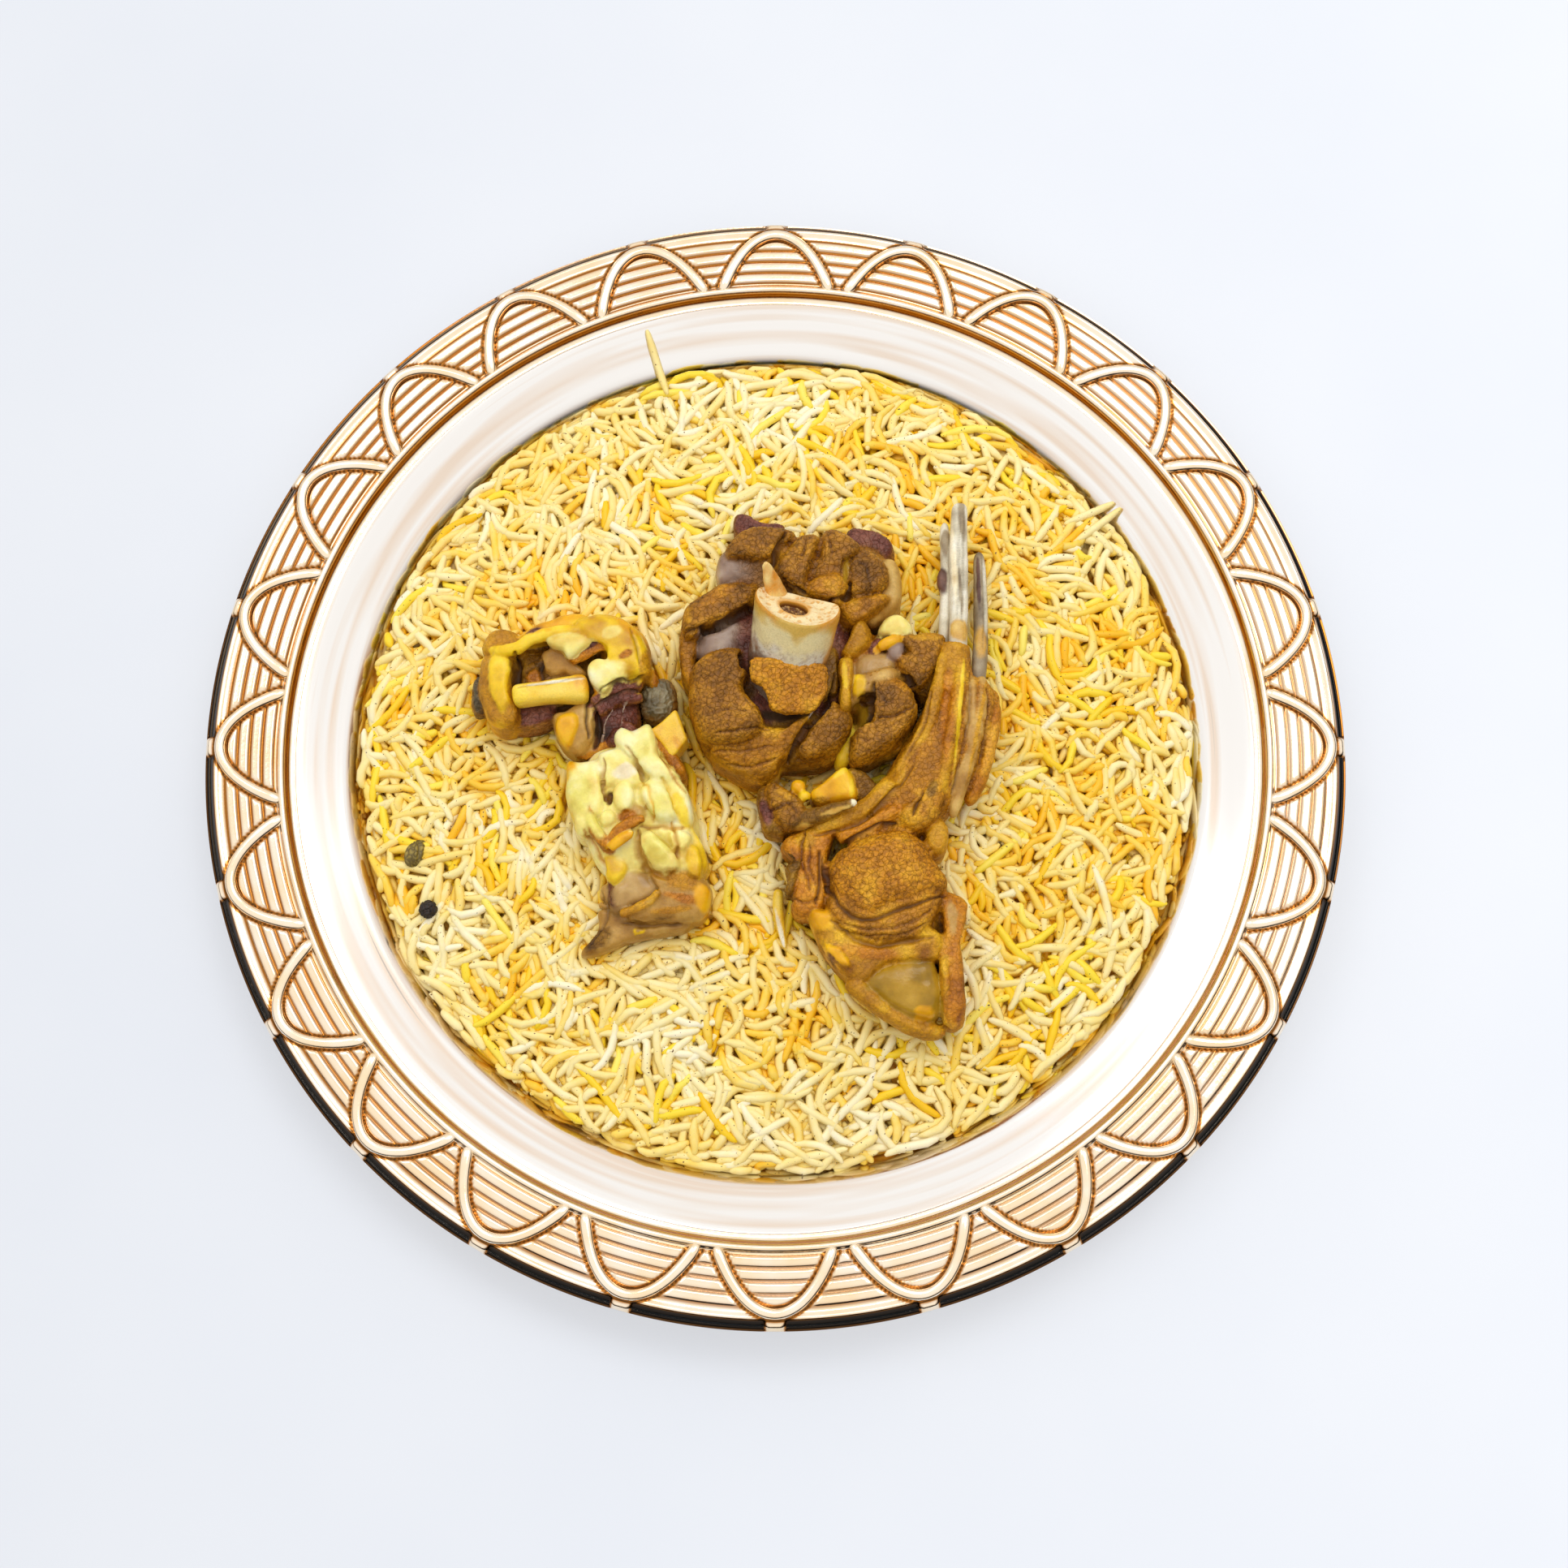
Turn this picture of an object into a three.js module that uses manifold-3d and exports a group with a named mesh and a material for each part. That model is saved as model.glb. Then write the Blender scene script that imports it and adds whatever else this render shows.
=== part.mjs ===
// Lamb biryani on its serving tray: a pressed tray with a ridged, arched rim, a mound of long
// grain rice, and pieces of lamb on the bone. Millimetres, +Z up. The origin is the middle of the
// tray's underside, +X is to the right and +Y is away from the person served.
import * as THREE from 'three';
import { mergeVertices } from 'three/addons/utils/BufferGeometryUtils.js';
import Module from 'manifold-3d';

const wasm = await Module();
wasm.setup();

// ---- Driving dimensions ----
const TRAY_RADIUS = 175;
const SHEET = 1.2;
const FLOOR_RADIUS = 116;
const WELL_EDGE_RADIUS = 131.2;
const WELL_EDGE_HEIGHT = 14.9;
const LEDGE_RADIUS = 146.9;
const LEDGE_HEIGHT = 21;
const BEAD_RADIUS = 151;
const PANEL_HEIGHT = 23.1;
const LIP_DROP = 4.6;

const ARCHES = 24;
const ARCH_RISE = 1.5;
const ARCH_TIP_RADIUS = 171;
const ARCH_HALF_ANGLE = 6.7;
const ARCH_HALF_TUBE = 0.6;
const RIDGES = 4;
const RIDGE_PITCH = 3.75;
const RIDGE_RISE = 0.8;

const RICE_RADIUS = 128.6;
const RICE_EDGE_HEIGHT = 12.2;
const RICE_MOUND = 8.3;
const RICE_RINGS = 16;
const GRAIN_BUMP = 1.3;
const GAP = 0.35;
// The meat rests on the tops of the highest grains, on this level.
const SEAT = RICE_EDGE_HEIGHT + RICE_MOUND + GRAIN_BUMP + GAP;

const CRAG = 0.9;

const DEGREE = Math.PI / 180;

// ---- Finishes ----
const finish = (color, roughness, metalness = 0) =>
  new THREE.MeshStandardMaterial({ color, roughness, metalness });

const gilt = finish('#dcb98c', 0.16, 1);
const riceYellow = finish('#ecd488', 0.55);
const roastedMeat = finish('#7d4a1a', 0.6);
const chopMeat = finish('#85501c', 0.6);
const fattyMeat = finish('#b9923f', 0.45);
const yellowFat = finish('#c9b455', 0.4);
const stainedBone = finish('#e3b544', 0.4);
const paleBone = finish('#cfc6b4', 0.5);
const greyBone = finish('#8d8877', 0.6);
const marrowBrown = finish('#8a4a1e', 0.5);

// ---- Helpers ----

// Small repeatable random numbers between 0 and 1.
function seededRandom(seed) {
  let state = seed >>> 0;
  return () => {
    state = (Math.imul(state, 1664525) + 1013904223) >>> 0;
    return state / 4294967296;
  };
}

// A closed geometry as a solid that can be joined and cut.
function solid(geometry) {
  const bare = geometry.clone();
  bare.deleteAttribute('normal');
  bare.deleteAttribute('uv');
  const merged = mergeVertices(bare, 1e-4);
  return new wasm.Manifold(new wasm.Mesh({
    numProp: 3,
    vertProperties: new Float32Array(merged.attributes.position.array),
    triVerts: new Uint32Array(merged.index.array),
  }));
}

// A solid as a geometry again.
function geometryOf(body) {
  const mesh = body.getMesh();
  const geometry = new THREE.BufferGeometry();
  geometry.setAttribute('position', new THREE.BufferAttribute(mesh.vertProperties, 3));
  geometry.setIndex(new THREE.BufferAttribute(mesh.triVerts, 1));
  const faceted = geometry.toNonIndexed();
  faceted.computeVertexNormals();
  return faceted;
}

// A geometry from points and triangles.
function fromPoints(points, triangles) {
  const geometry = new THREE.BufferGeometry();
  geometry.setAttribute('position', new THREE.Float32BufferAttribute(points.flat(), 3));
  geometry.setIndex(triangles);
  return geometry;
}

const joined = (bodies) => bodies.reduce((whole, body) => whole.add(body));

// Slow waves over space, from -1 to 1, that make meat and fat uneven.
function crags([x, y, z], seed) {
  const broad = Math.sin(x / 3.1 + seed) * Math.sin(y / 3.7 + 2 * seed) * Math.sin(z / 3.3 + seed);
  const fine = Math.sin((x + y) / 1.9 + 3 * seed) * Math.sin((y - z) / 2.1 + seed);
  return 0.65 * broad + 0.35 * fine;
}

// How far a point lies inside a lump: below 1 is inside. A lump is a ball with squared shoulders,
// stretched to its half sizes, turned about Z and leaned about X.
function lumpReach(point, { at, half, turn = 0, lean = 0, square = 2.5 }) {
  const away = point.clone().sub(new THREE.Vector3(...at));
  away.applyAxisAngle(new THREE.Vector3(0, 0, 1), -turn * DEGREE);
  away.applyAxisAngle(new THREE.Vector3(1, 0, 0), -lean * DEGREE);
  return away.toArray().reduce((sum, part, axis) => sum + Math.abs(part / half[axis]) ** square, 0);
}

// One skin over a cluster of lumps. Every point of a fine ball is moved along its ray from the
// middle to where the ray last leaves a lump, and then in or out by the crags of the surface.
// grow makes the skin larger all round, for a neighbour's clearance.
function skin({ middle, reach, lumps, detail, rough = CRAG, grow = 0 }) {
  const geometry = new THREE.IcosahedronGeometry(1, detail);
  geometry.deleteAttribute('normal');
  geometry.deleteAttribute('uv');
  const ball = mergeVertices(geometry, 1e-4);
  const from = new THREE.Vector3(...middle);
  const spot = ball.attributes.position;
  const step = 0.25;
  for (let i = 0; i < spot.count; i += 1) {
    const ray = new THREE.Vector3().fromBufferAttribute(spot, i).normalize();
    let far = reach;
    let point = from.clone().addScaledVector(ray, far);
    while (far > step && lumps.every((lump) => lumpReach(point, lump) > 1)) {
      far -= step;
      point = from.clone().addScaledVector(ray, far);
    }
    point.addScaledVector(ray, rough * crags(point.toArray(), middle[0] * 0.37) + grow);
    spot.setXYZ(i, point.x, point.y, point.z);
  }
  return solid(ball);
}

// A skin over a single lump.
const lobe = ({ detail = 1, rough = 0, grow = 0, ...lump }) => skin({
  middle: lump.at, reach: 1.5 * Math.max(...lump.half), lumps: [lump], detail, rough, grow,
});

// A bar along a smooth path. Each station is [x, y, z, half width, half height]; the section is a
// rounded box, its width level. Both ends are cut flat.
function bar({ path, steps = 10, sides = 8, square = 2.5, rough = 0, grow = 0 }) {
  const curve = new THREE.CatmullRomCurve3(path.map(([x, y, z]) => new THREE.Vector3(x, y, z)));
  const points = [];
  const triangles = [];
  for (let step = 0; step <= steps; step += 1) {
    const share = step / steps;
    const middle = curve.getPoint(share);
    const along = curve.getTangent(share);
    const side = new THREE.Vector3().crossVectors(along, new THREE.Vector3(0, 0, 1)).normalize();
    const up = new THREE.Vector3().crossVectors(side, along);
    const place = share * (path.length - 1);
    const from = Math.min(Math.floor(place), path.length - 2);
    const [halfWidth, halfHeight] = [3, 4].map((size) => grow
      + THREE.MathUtils.lerp(path[from][size], path[from + 1][size], place - from));
    const end = (step === 0 ? -grow : 0) + (step === steps ? grow : 0);
    for (let corner = 0; corner < sides; corner += 1) {
      const angle = (2 * Math.PI * corner) / sides;
      const [c, s] = [Math.cos(angle), Math.sin(angle)];
      const norm = (Math.abs(c) ** square + Math.abs(s) ** square) ** (1 / square);
      const point = middle.clone().addScaledVector(along, end);
      point.addScaledVector(side, (halfWidth * c) / norm).addScaledVector(up, (halfHeight * s) / norm);
      const bump = rough * crags(point.toArray(), path[0][0]);
      point.addScaledVector(side, bump * c).addScaledVector(up, bump * s);
      points.push(point.toArray());
      if (step > 0) {
        const here = step * sides + corner;
        const next = step * sides + ((corner + 1) % sides);
        triangles.push(here - sides, here, next - sides, next - sides, here, next);
      }
    }
  }
  const last = steps * sides;
  for (let corner = 1; corner < sides - 1; corner += 1) {
    triangles.push(0, corner, corner + 1, last, last + corner + 1, last + corner);
  }
  return solid(fromPoints(points, triangles));
}

// Everything below a level, to cut a piece flat where it lies on the rice.
function below(level) {
  const depth = 60;
  const block = new THREE.BoxGeometry(3 * TRAY_RADIUS, 3 * TRAY_RADIUS, depth);
  block.translate(0, 0, level - depth / 2);
  return solid(block);
}

const seated = (body) => body.subtract(below(SEAT));

// ---- Tray ----

// The columns of one arch in a row of the rim: the edge of its sector, then each leg's outer foot,
// crest and inner foot. An arch is a parabola, so its half angle falls with the root of the
// distance still to go to its tip.
function archColumns({ r, arch }) {
  const toGo = THREE.MathUtils.clamp((ARCH_TIP_RADIUS - r) / (ARCH_TIP_RADIUS - BEAD_RADIUS), 0, 1);
  const crest = arch > 0 ? Math.max(ARCH_HALF_ANGLE * Math.sqrt(toGo), 0.4) : 3.3;
  const outer = arch > 0 ? crest + ARCH_HALF_TUBE : 5.4;
  const inner = arch > 0 ? Math.max(crest - ARCH_HALF_TUBE, 0.15) : 1.1;
  const middle = r >= ARCH_TIP_RADIUS ? arch : 0;
  return [
    { angle: -180 / ARCHES, rise: 0 },
    { angle: -outer, rise: 0 },
    { angle: -crest, rise: arch },
    { angle: -inner, rise: middle },
    { angle: inner, rise: middle },
    { angle: crest, rise: arch },
    { angle: outer, rise: 0 },
  ];
}

// The tray's rows, from the middle of the underside outwards, over the lip and back along the top:
// radius, height and how much of an arch's rise the row carries. The rim's rows are the fine ones.
function trayRows() {
  const rows = [
    { r: FLOOR_RADIUS + 0.6, z: 0 },
    { r: FLOOR_RADIUS + 8, z: 2.4 },
    { r: WELL_EDGE_RADIUS + 0.6, z: WELL_EDGE_HEIGHT - 1.5 },
    { r: LEDGE_RADIUS + 1.9, z: LEDGE_HEIGHT - 0.7, fine: true },
    { r: TRAY_RADIUS - 1.5, z: PANEL_HEIGHT - SHEET, fine: true },
    { r: TRAY_RADIUS, z: PANEL_HEIGHT - LIP_DROP, fine: true },
    { r: TRAY_RADIUS - 1.7, z: PANEL_HEIGHT + 0.8, fine: true },
    { r: ARCH_TIP_RADIUS, z: PANEL_HEIGHT - 0.1, arch: 1, fine: true },
  ];
  for (let ridge = RIDGES; ridge > 0; ridge -= 1) {
    const outside = BEAD_RADIUS + 1.6 + ridge * RIDGE_PITCH;
    rows.push({ r: outside, z: PANEL_HEIGHT, arch: 1, fine: true });
    rows.push({ r: outside - RIDGE_PITCH / 2, z: PANEL_HEIGHT + RIDGE_RISE, arch: 0.75, fine: true });
  }
  return [
    ...rows,
    { r: BEAD_RADIUS + 1.6, z: PANEL_HEIGHT, arch: 1, fine: true },
    { r: BEAD_RADIUS, z: PANEL_HEIGHT + 1.2, fine: true },
    { r: LEDGE_RADIUS + 0.6, z: LEDGE_HEIGHT + 0.3, fine: true },
    { r: WELL_EDGE_RADIUS + 2.6, z: WELL_EDGE_HEIGHT + 0.1 },
    { r: WELL_EDGE_RADIUS, z: WELL_EDGE_HEIGHT },
    { r: 129.5, z: 12.3 },
    { r: FLOOR_RADIUS + 7, z: 3.6 },
    { r: FLOOR_RADIUS, z: SHEET },
  ];
}

// The pressed tray as one closed skin. A plain row has one point where the rim has four, so
// between the two kinds each plain stretch is a fan over four fine ones.
function pressedTray() {
  const perArch = archColumns({ r: 0, arch: 0 }).length;
  const fineCount = perArch * ARCHES;
  const coarser = 4;
  const points = [];
  const triangles = [];
  const rings = trayRows().map(({ r, z, arch = 0, fine = false }) => {
    const start = points.length;
    for (let column = 0; column < fineCount; column += fine ? 1 : coarser) {
      const spot = fine ? archColumns({ r, arch })[column % perArch] : { angle: 0, rise: 0 };
      const sector = fine ? Math.floor(column / perArch) : column / perArch - 0.5;
      const turn = (90 + (sector * 360) / ARCHES + spot.angle) * DEGREE;
      points.push([r * Math.cos(turn), r * Math.sin(turn), z + spot.rise * ARCH_RISE]);
    }
    return { start, count: points.length - start };
  });
  const at = (ring, column) => ring.start + (column % ring.count);
  for (let row = 1; row < rings.length; row += 1) {
    const [inner, outer] = [rings[row - 1], rings[row]];
    const count = Math.min(inner.count, outer.count);
    const [stepIn, stepOut] = [inner.count / count, outer.count / count];
    for (let column = 0; column < count; column += 1) {
      const [a, b] = [column * stepIn, column * stepOut];
      for (let k = 0; k < stepOut; k += 1) {
        triangles.push(at(inner, a), at(outer, b + k + 1), at(outer, b + k));
      }
      for (let k = 0; k < stepIn; k += 1) {
        triangles.push(at(inner, a + k), at(inner, a + k + 1), at(outer, b + stepOut));
      }
    }
  }
  [rings[0], rings[rings.length - 1]].forEach((ring, top) => {
    points.push([0, 0, top ? SHEET : 0]);
    for (let column = 0; column < ring.count; column += 1) {
      const [here, next] = [at(ring, column), at(ring, column + 1)];
      triangles.push(points.length - 1, top ? here : next, top ? next : here);
    }
  });
  return solid(fromPoints(points, triangles));
}

// ---- Rice ----

// The mound's height at a distance from the middle, without the grains.
const moundHeight = (r) => RICE_EDGE_HEIGHT + RICE_MOUND * (1 - (r / RICE_RADIUS) ** 5);

// The mound: rings of points with six more in each, every point lifted or dropped by part of a
// grain, then the sides down the well's wall and the flat underside.
function riceMound() {
  const random = seededRandom(24);
  const points = [[0, 0, moundHeight(0)]];
  const triangles = [];
  const first = (ring) => 1 + 3 * ring * (ring - 1);
  for (let ring = 1; ring <= RICE_RINGS; ring += 1) {
    const r = (RICE_RADIUS * ring) / RICE_RINGS;
    const bump = ring < RICE_RINGS ? GRAIN_BUMP : 0;
    for (let spot = 0; spot < 6 * ring; spot += 1) {
      const turn = (2 * Math.PI * spot) / (6 * ring);
      const lift = bump * (2 * random() - 1);
      points.push([r * Math.cos(turn), r * Math.sin(turn), moundHeight(r) + lift]);
      const side = Math.floor(spot / ring);
      const inner = (step) => (ring === 1 ? 0 : first(ring - 1) + (step % (6 * (ring - 1))));
      const here = first(ring) + spot;
      const next = first(ring) + ((spot + 1) % (6 * ring));
      triangles.push(here, next, inner(spot - side));
      if (spot % ring > 0) {
        triangles.push(here, inner(spot - side), inner(spot - side - 1));
      }
    }
  }
  const around = 6 * RICE_RINGS;
  let above = first(RICE_RINGS);
  for (const [r, z] of [[FLOOR_RADIUS + 6, 4], [FLOOR_RADIUS - 0.5, SHEET + GAP]]) {
    const start = points.length;
    for (let spot = 0; spot < around; spot += 1) {
      const turn = (2 * Math.PI * spot) / around;
      points.push([r * Math.cos(turn), r * Math.sin(turn), z]);
      const next = (spot + 1) % around;
      triangles.push(above + spot, start + spot, above + next, above + next, start + spot, start + next);
    }
    above = start;
  }
  points.push([0, 0, SHEET + GAP]);
  for (let spot = 0; spot < around; spot += 1) {
    triangles.push(points.length - 1, above + ((spot + 1) % around), above + spot);
  }
  return solid(fromPoints(points, triangles));
}

// A peppercorn and a spice pod, half sunk in the rice.
function wholeSpices() {
  const pepper = { at: [-105.3, -49.9, moundHeight(116) + 1.6], half: [3, 3, 3], rough: 0.1, detail: 1 };
  const pod = { at: [-109.8, -32.5, moundHeight(114) + 1], half: [4.6, 3.2, 2.8], turn: 60, detail: 1 };
  return joined([lobe(pepper), lobe(pod)]);
}

// ---- Shank ----

const BONE_TOP = [6.9, 34.6, 56];
const BONE_LEAN = 41;
const BONE_HALF = [13, 9];
const BONE_LENGTH = 50;
const MARROW_HALF = [4.4, 3.9];
const MARROW_DEPTH = 2.4;

// A straight bar down the marrow bone's axis, from a distance below its sawn end.
function alongBone([halfWidth, halfDepth], from, to, grow = 0) {
  const [x, y, z] = BONE_TOP;
  const [back, down] = [Math.sin(BONE_LEAN * DEGREE), Math.cos(BONE_LEAN * DEGREE)];
  const stations = [from, to].map((d) => [x, y - d * back, z - d * down, halfWidth, halfDepth]);
  return bar({ path: stations, steps: 1, sides: 14, square: 2.2, grow });
}

const shank = {
  middle: [2, 24, SEAT + 4],
  reach: 60,
  detail: 6,
  lumps: [
    { at: [-4, 57, 33], half: [14, 9.5, 13.5], turn: -4 },
    { at: [10.5, 51, 35], half: [12, 14, 13.5] },
    { at: [28, 49, 32], half: [9.5, 15, 12.5], turn: -6 },
    { at: [31, 62.5, 29], half: [6, 5, 8] },
    { at: [-8, 66, 29], half: [6, 4, 7] },
    { at: [-18, 38, 33], half: [13, 9, 12], turn: 32 },
    { at: [-19, 22, 32], half: [10, 15, 12] },
    { at: [-10.5, 8.5, 34], half: [16, 17, 15], turn: 20 },
    { at: [-2, -2, 31], half: [16, 10.5, 13] },
    { at: [13, 0, 32], half: [13, 8, 11], turn: 42 },
    { at: [6, 25, 31], half: [20, 24, 14] },
    { at: [6, 11, 44.5], half: [12.5, 7.5, 6.5], turn: -4, lean: 6, square: 4 },
  ],
};

function marrowBone() {
  const splinter = { path: [[-2, 39, 48, 3, 2], [-2.2, 42, 54, 2, 1.6], [-3, 45, 59, 0.6, 0.6]], steps: 3 };
  const outer = alongBone(BONE_HALF, 0, BONE_LENGTH).add(bar({ ...splinter, sides: 6 }));
  return seated(outer.subtract(alongBone(MARROW_HALF, -2, BONE_LENGTH + 2)));
}

const marrowPlug = () => seated(alongBone(MARROW_HALF, MARROW_DEPTH, BONE_LENGTH, -GAP));

const shankMeat = () => seated(skin(shank).subtract(alongBone(BONE_HALF, -8, BONE_LENGTH, GAP)));

// ---- Boned meat beside the shank ----

const side = {
  middle: [34, 14, SEAT + 4],
  reach: 32,
  detail: 4,
  lumps: [
    { at: [22, 17, 33], half: [4.5, 12, 11], turn: -4 },
    { at: [27, 7, 30], half: [6, 8, 8] },
    { at: [35.5, 31, 33], half: [7, 5.5, 9], square: 2.2 },
    { at: [44, 20, 31], half: [8, 13, 9.5], turn: -20 },
    { at: [34.5, 5.5, 31], half: [10.5, 12.5, 11] },
    { at: [33, 21, 31], half: [10, 10, 9] },
    { at: [23, -5, 26.5], half: [3.5, 6, 5], turn: -25 },
  ],
};

// ---- Rib chop ----

const ribMain = {
  path: [[56.5, 75, 31, 3.4, 2.2], [56, 52, 35, 3.1, 2.4], [55.3, 29, 38, 3, 2.8],
    [52.5, 8, 36, 3.4, 2.8], [45, -12, 34, 3.4, 2.6]],
  steps: 8,
};
const ribLeft = {
  path: [[51.2, 70, 29.5, 1.3, 1.6], [51.4, 50, 33, 1.5, 2], [50.6, 33, 34, 1.6, 2.2], [49, 18, 33, 1.6, 2]],
  steps: 5,
  sides: 6,
};
const ribRight = {
  path: [[63, 61, 28, 1.9, 2], [63, 42, 31, 2.2, 2.3], [62, 21, 33, 2.3, 2.4], [59.5, 4, 32, 2.2, 2.2]],
  steps: 6,
  sides: 6,
};
const vertebraLobe = { at: [1.6, -22.5, 31.5], half: [7, 8, 9], turn: 8, square: 3, rough: 0.8 };
const vertebraSpike = { path: [[6, -26, 38, 3, 2.6], [15, -25, 41.5, 2.6, 2.2], [24, -23, 45, 0.9, 0.8]], steps: 3 };
const gristleBar = { path: [[12.5, -18.5, 32, 5, 6], [17, -16.5, 33, 5.5, 6.5], [23, -13, 33, 3.5, 5]], steps: 2 };

const chopEnd = {
  middle: [31, -52, SEAT + 3],
  reach: 55,
  detail: 5,
  lumps: [
    { at: [32.5, -45, 32], half: [18.5, 16, 12], square: 3 },
    { at: [33, -60.5, 30.5], half: [18, 7.5, 10.5], turn: -4 },
    { at: [40, -75, 28], half: [11, 13, 9.5], turn: 8 },
    { at: [45, -86, 25.5], half: [5.5, 5, 5.5] },
    { at: [10, -41, 29], half: [8.5, 12, 8.5] },
    { at: [15, -29.5, 30], half: [13, 6, 9] },
    // The fat rim along the lower left side, and the red strip along the right side.
    { at: [20, -68, 28.5], half: [18, 5, 7.5], turn: -47 },
    { at: [54, -65, 27.5], half: [3.2, 22, 8], turn: 2 },
  ],
};
const chopBars = [
  // The long muscle that runs up over the ribs, and its collar round the main rib.
  {
    path: [[26, -30, 30, 6, 8], [38, -23, 33, 11, 10.5], [48, -10, 34, 12.5, 11], [55, 5, 34, 11.5, 10],
      [59, 19, 33, 9.5, 8.5]],
    steps: 8,
    sides: 10,
    rough: CRAG,
  },
  { path: [[53, 12, 35, 7, 7.5], [54, 29, 36.5, 4.8, 5.6]], steps: 2, rough: 0.4 },
];

const vertebra = (grow = 0) => joined([
  lobe({ ...vertebraLobe, grow }),
  bar({ ...vertebraSpike, grow }),
  lobe({ at: [6, -15.5, 35.5], half: [2.3, 2.3, 2.3], grow }),
]);
const gristle = (grow = 0) => bar({ ...gristleBar, grow });
const ribs = (grow = 0) => [ribMain, ribLeft, ribRight].map((rib) => bar({ ...rib, grow }));

const chopBody = (grow = 0) => joined([
  skin({ ...chopEnd, grow }),
  ...chopBars.map((shape) => bar({ ...shape, grow })),
]);

const chopMeatSolid = () => seated([vertebra(GAP), gristle(GAP), ...ribs(GAP)]
  .reduce((meat, bone) => meat.subtract(bone), chopBody()));

const sideMeat = () => seated(skin(side)
  .subtract(skin({ ...shank, grow: GAP }))
  .subtract(joined([...chopBars, ribLeft].map((shape) => bar({ ...shape, grow: GAP })))));

const boneSliver = {
  path: [[0.8, -45, 24.5, 1.5, 1.6], [1.1, -54, 24.5, 1.6, 1.6], [3, -63, 23.5, 0.7, 0.8]],
  steps: 4,
  sides: 6,
};

// ---- Left joint ----

const jointRod = { path: [[-79, 10.5, 41, 3.4, 3.6], [-68, 12, 41, 3.6, 3.8], [-56, 13.5, 40, 4.6, 4]], steps: 3 };
const spongyLobe = { at: [-35.6, 12, 28.5], half: [5, 6.5, 7], rough: 0.8 };
const joint = {
  middle: [-64, 14, SEAT + 2],
  reach: 40,
  detail: 5,
  lumps: [
    { at: [-83, 15, 31], half: [6, 11.5, 10], turn: -4 },
    { at: [-75, 6, 28], half: [9, 4.5, 8] },
    { at: [-80, 30, 32], half: [9, 7, 9], turn: 28 },
    { at: [-63, 33, 34], half: [15, 6.5, 10] },
    { at: [-45, 28, 33], half: [8, 9, 10], turn: 30 },
    { at: [-40.5, 17, 31], half: [5, 9, 8.5] },
    { at: [-50.5, 18, 37], half: [8, 6, 6.5], turn: 12 },
    { at: [-49.5, 6, 30], half: [10, 13, 9.5], turn: -12 },
    { at: [-62.5, 1.5, 29], half: [6, 7.5, 8.5], turn: 10 },
    { at: [-66, 17, 28], half: [19, 13, 8] },
  ],
};

const jointMeat = () => seated(skin(joint)
  .subtract(bar({ ...jointRod, grow: GAP }))
  .subtract(lobe({ ...spongyLobe, grow: GAP })));

// ---- Left slab ----

const slab = {
  middle: [-42, -30, SEAT + 2],
  reach: 45,
  detail: 5,
  lumps: [
    { at: [-53, -17, 31], half: [9.5, 14.5, 8.5], turn: 4 },
    { at: [-43, -26, 31], half: [11, 22, 8.5], turn: 8 },
    { at: [-36, -50, 27], half: [14, 8.5, 7], turn: 6 },
    { at: [-54, -9, 30.5], half: [9, 4.5, 7.5] },
    // The ridge of fat down the right side, and the torn skin at the lower left.
    { at: [-36, -10, 33], half: [8, 14, 9], turn: 32 },
    { at: [-28, -34, 31], half: [8, 19, 8.5], turn: 12 },
    { at: [-49, -58, 24], half: [11, 4.5, 4], turn: 38 },
  ],
};
const CHIP_CORNERS = [[-38, 0.5], [-31, -7], [-26.4, -1.5], [-30, 7.6]];
const CHIP_LEVELS = [27, 38.5];

// The sawn bone wedge that stands out of the slab's upper end.
function boneChip(grow = 0) {
  const middle = CHIP_CORNERS.reduce((sum, [x, y]) => [sum[0] + x / 4, sum[1] + y / 4], [0, 0]);
  const outline = new THREE.Shape(CHIP_CORNERS.map(([x, y]) => {
    const way = new THREE.Vector2(x - middle[0], y - middle[1]);
    return way.setLength(way.length() + 1.4 * grow).add(new THREE.Vector2(...middle));
  }));
  const [low, high] = [CHIP_LEVELS[0] - grow, CHIP_LEVELS[1] + grow];
  const wedge = new THREE.ExtrudeGeometry(outline, { depth: high - low, bevelEnabled: false, steps: 1 });
  wedge.translate(0, 0, low);
  return solid(wedge);
}

const slabMeat = () => seated(skin(slab)
  .subtract(boneChip(GAP))
  .subtract(skin({ ...joint, grow: GAP })));

// ---- The whole dish ----

const group = new THREE.Group();

function piece(name, body, material) {
  const mesh = new THREE.Mesh(geometryOf(body), material);
  mesh.name = name;
  group.add(mesh);
}

piece('tray', pressedTray(), gilt);
piece('rice', riceMound().add(wholeSpices()), riceYellow);
piece('shank_meat', shankMeat(), roastedMeat);
piece('marrow_bone', marrowBone(), paleBone);
piece('marrow', marrowPlug(), marrowBrown);
piece('side_meat', sideMeat(), roastedMeat);
piece('chop_meat', chopMeatSolid(), chopMeat);
piece('chop_rib_main', ribs()[0], paleBone);
piece('chop_rib_left', ribs()[1], paleBone);
piece('chop_rib_right', ribs()[2], greyBone);
piece('chop_vertebra', vertebra(), fattyMeat);
piece('chop_gristle', gristle(), stainedBone);
piece('bone_sliver', bar(boneSliver), stainedBone);
piece('joint_meat', jointMeat(), fattyMeat);
piece('joint_bone', bar(jointRod), stainedBone);
piece('joint_spongy_bone', seated(lobe(spongyLobe)), greyBone);
piece('slab_meat', slabMeat(), yellowFat);
piece('bone_chip', boneChip(), stainedBone);

export default group;
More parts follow.
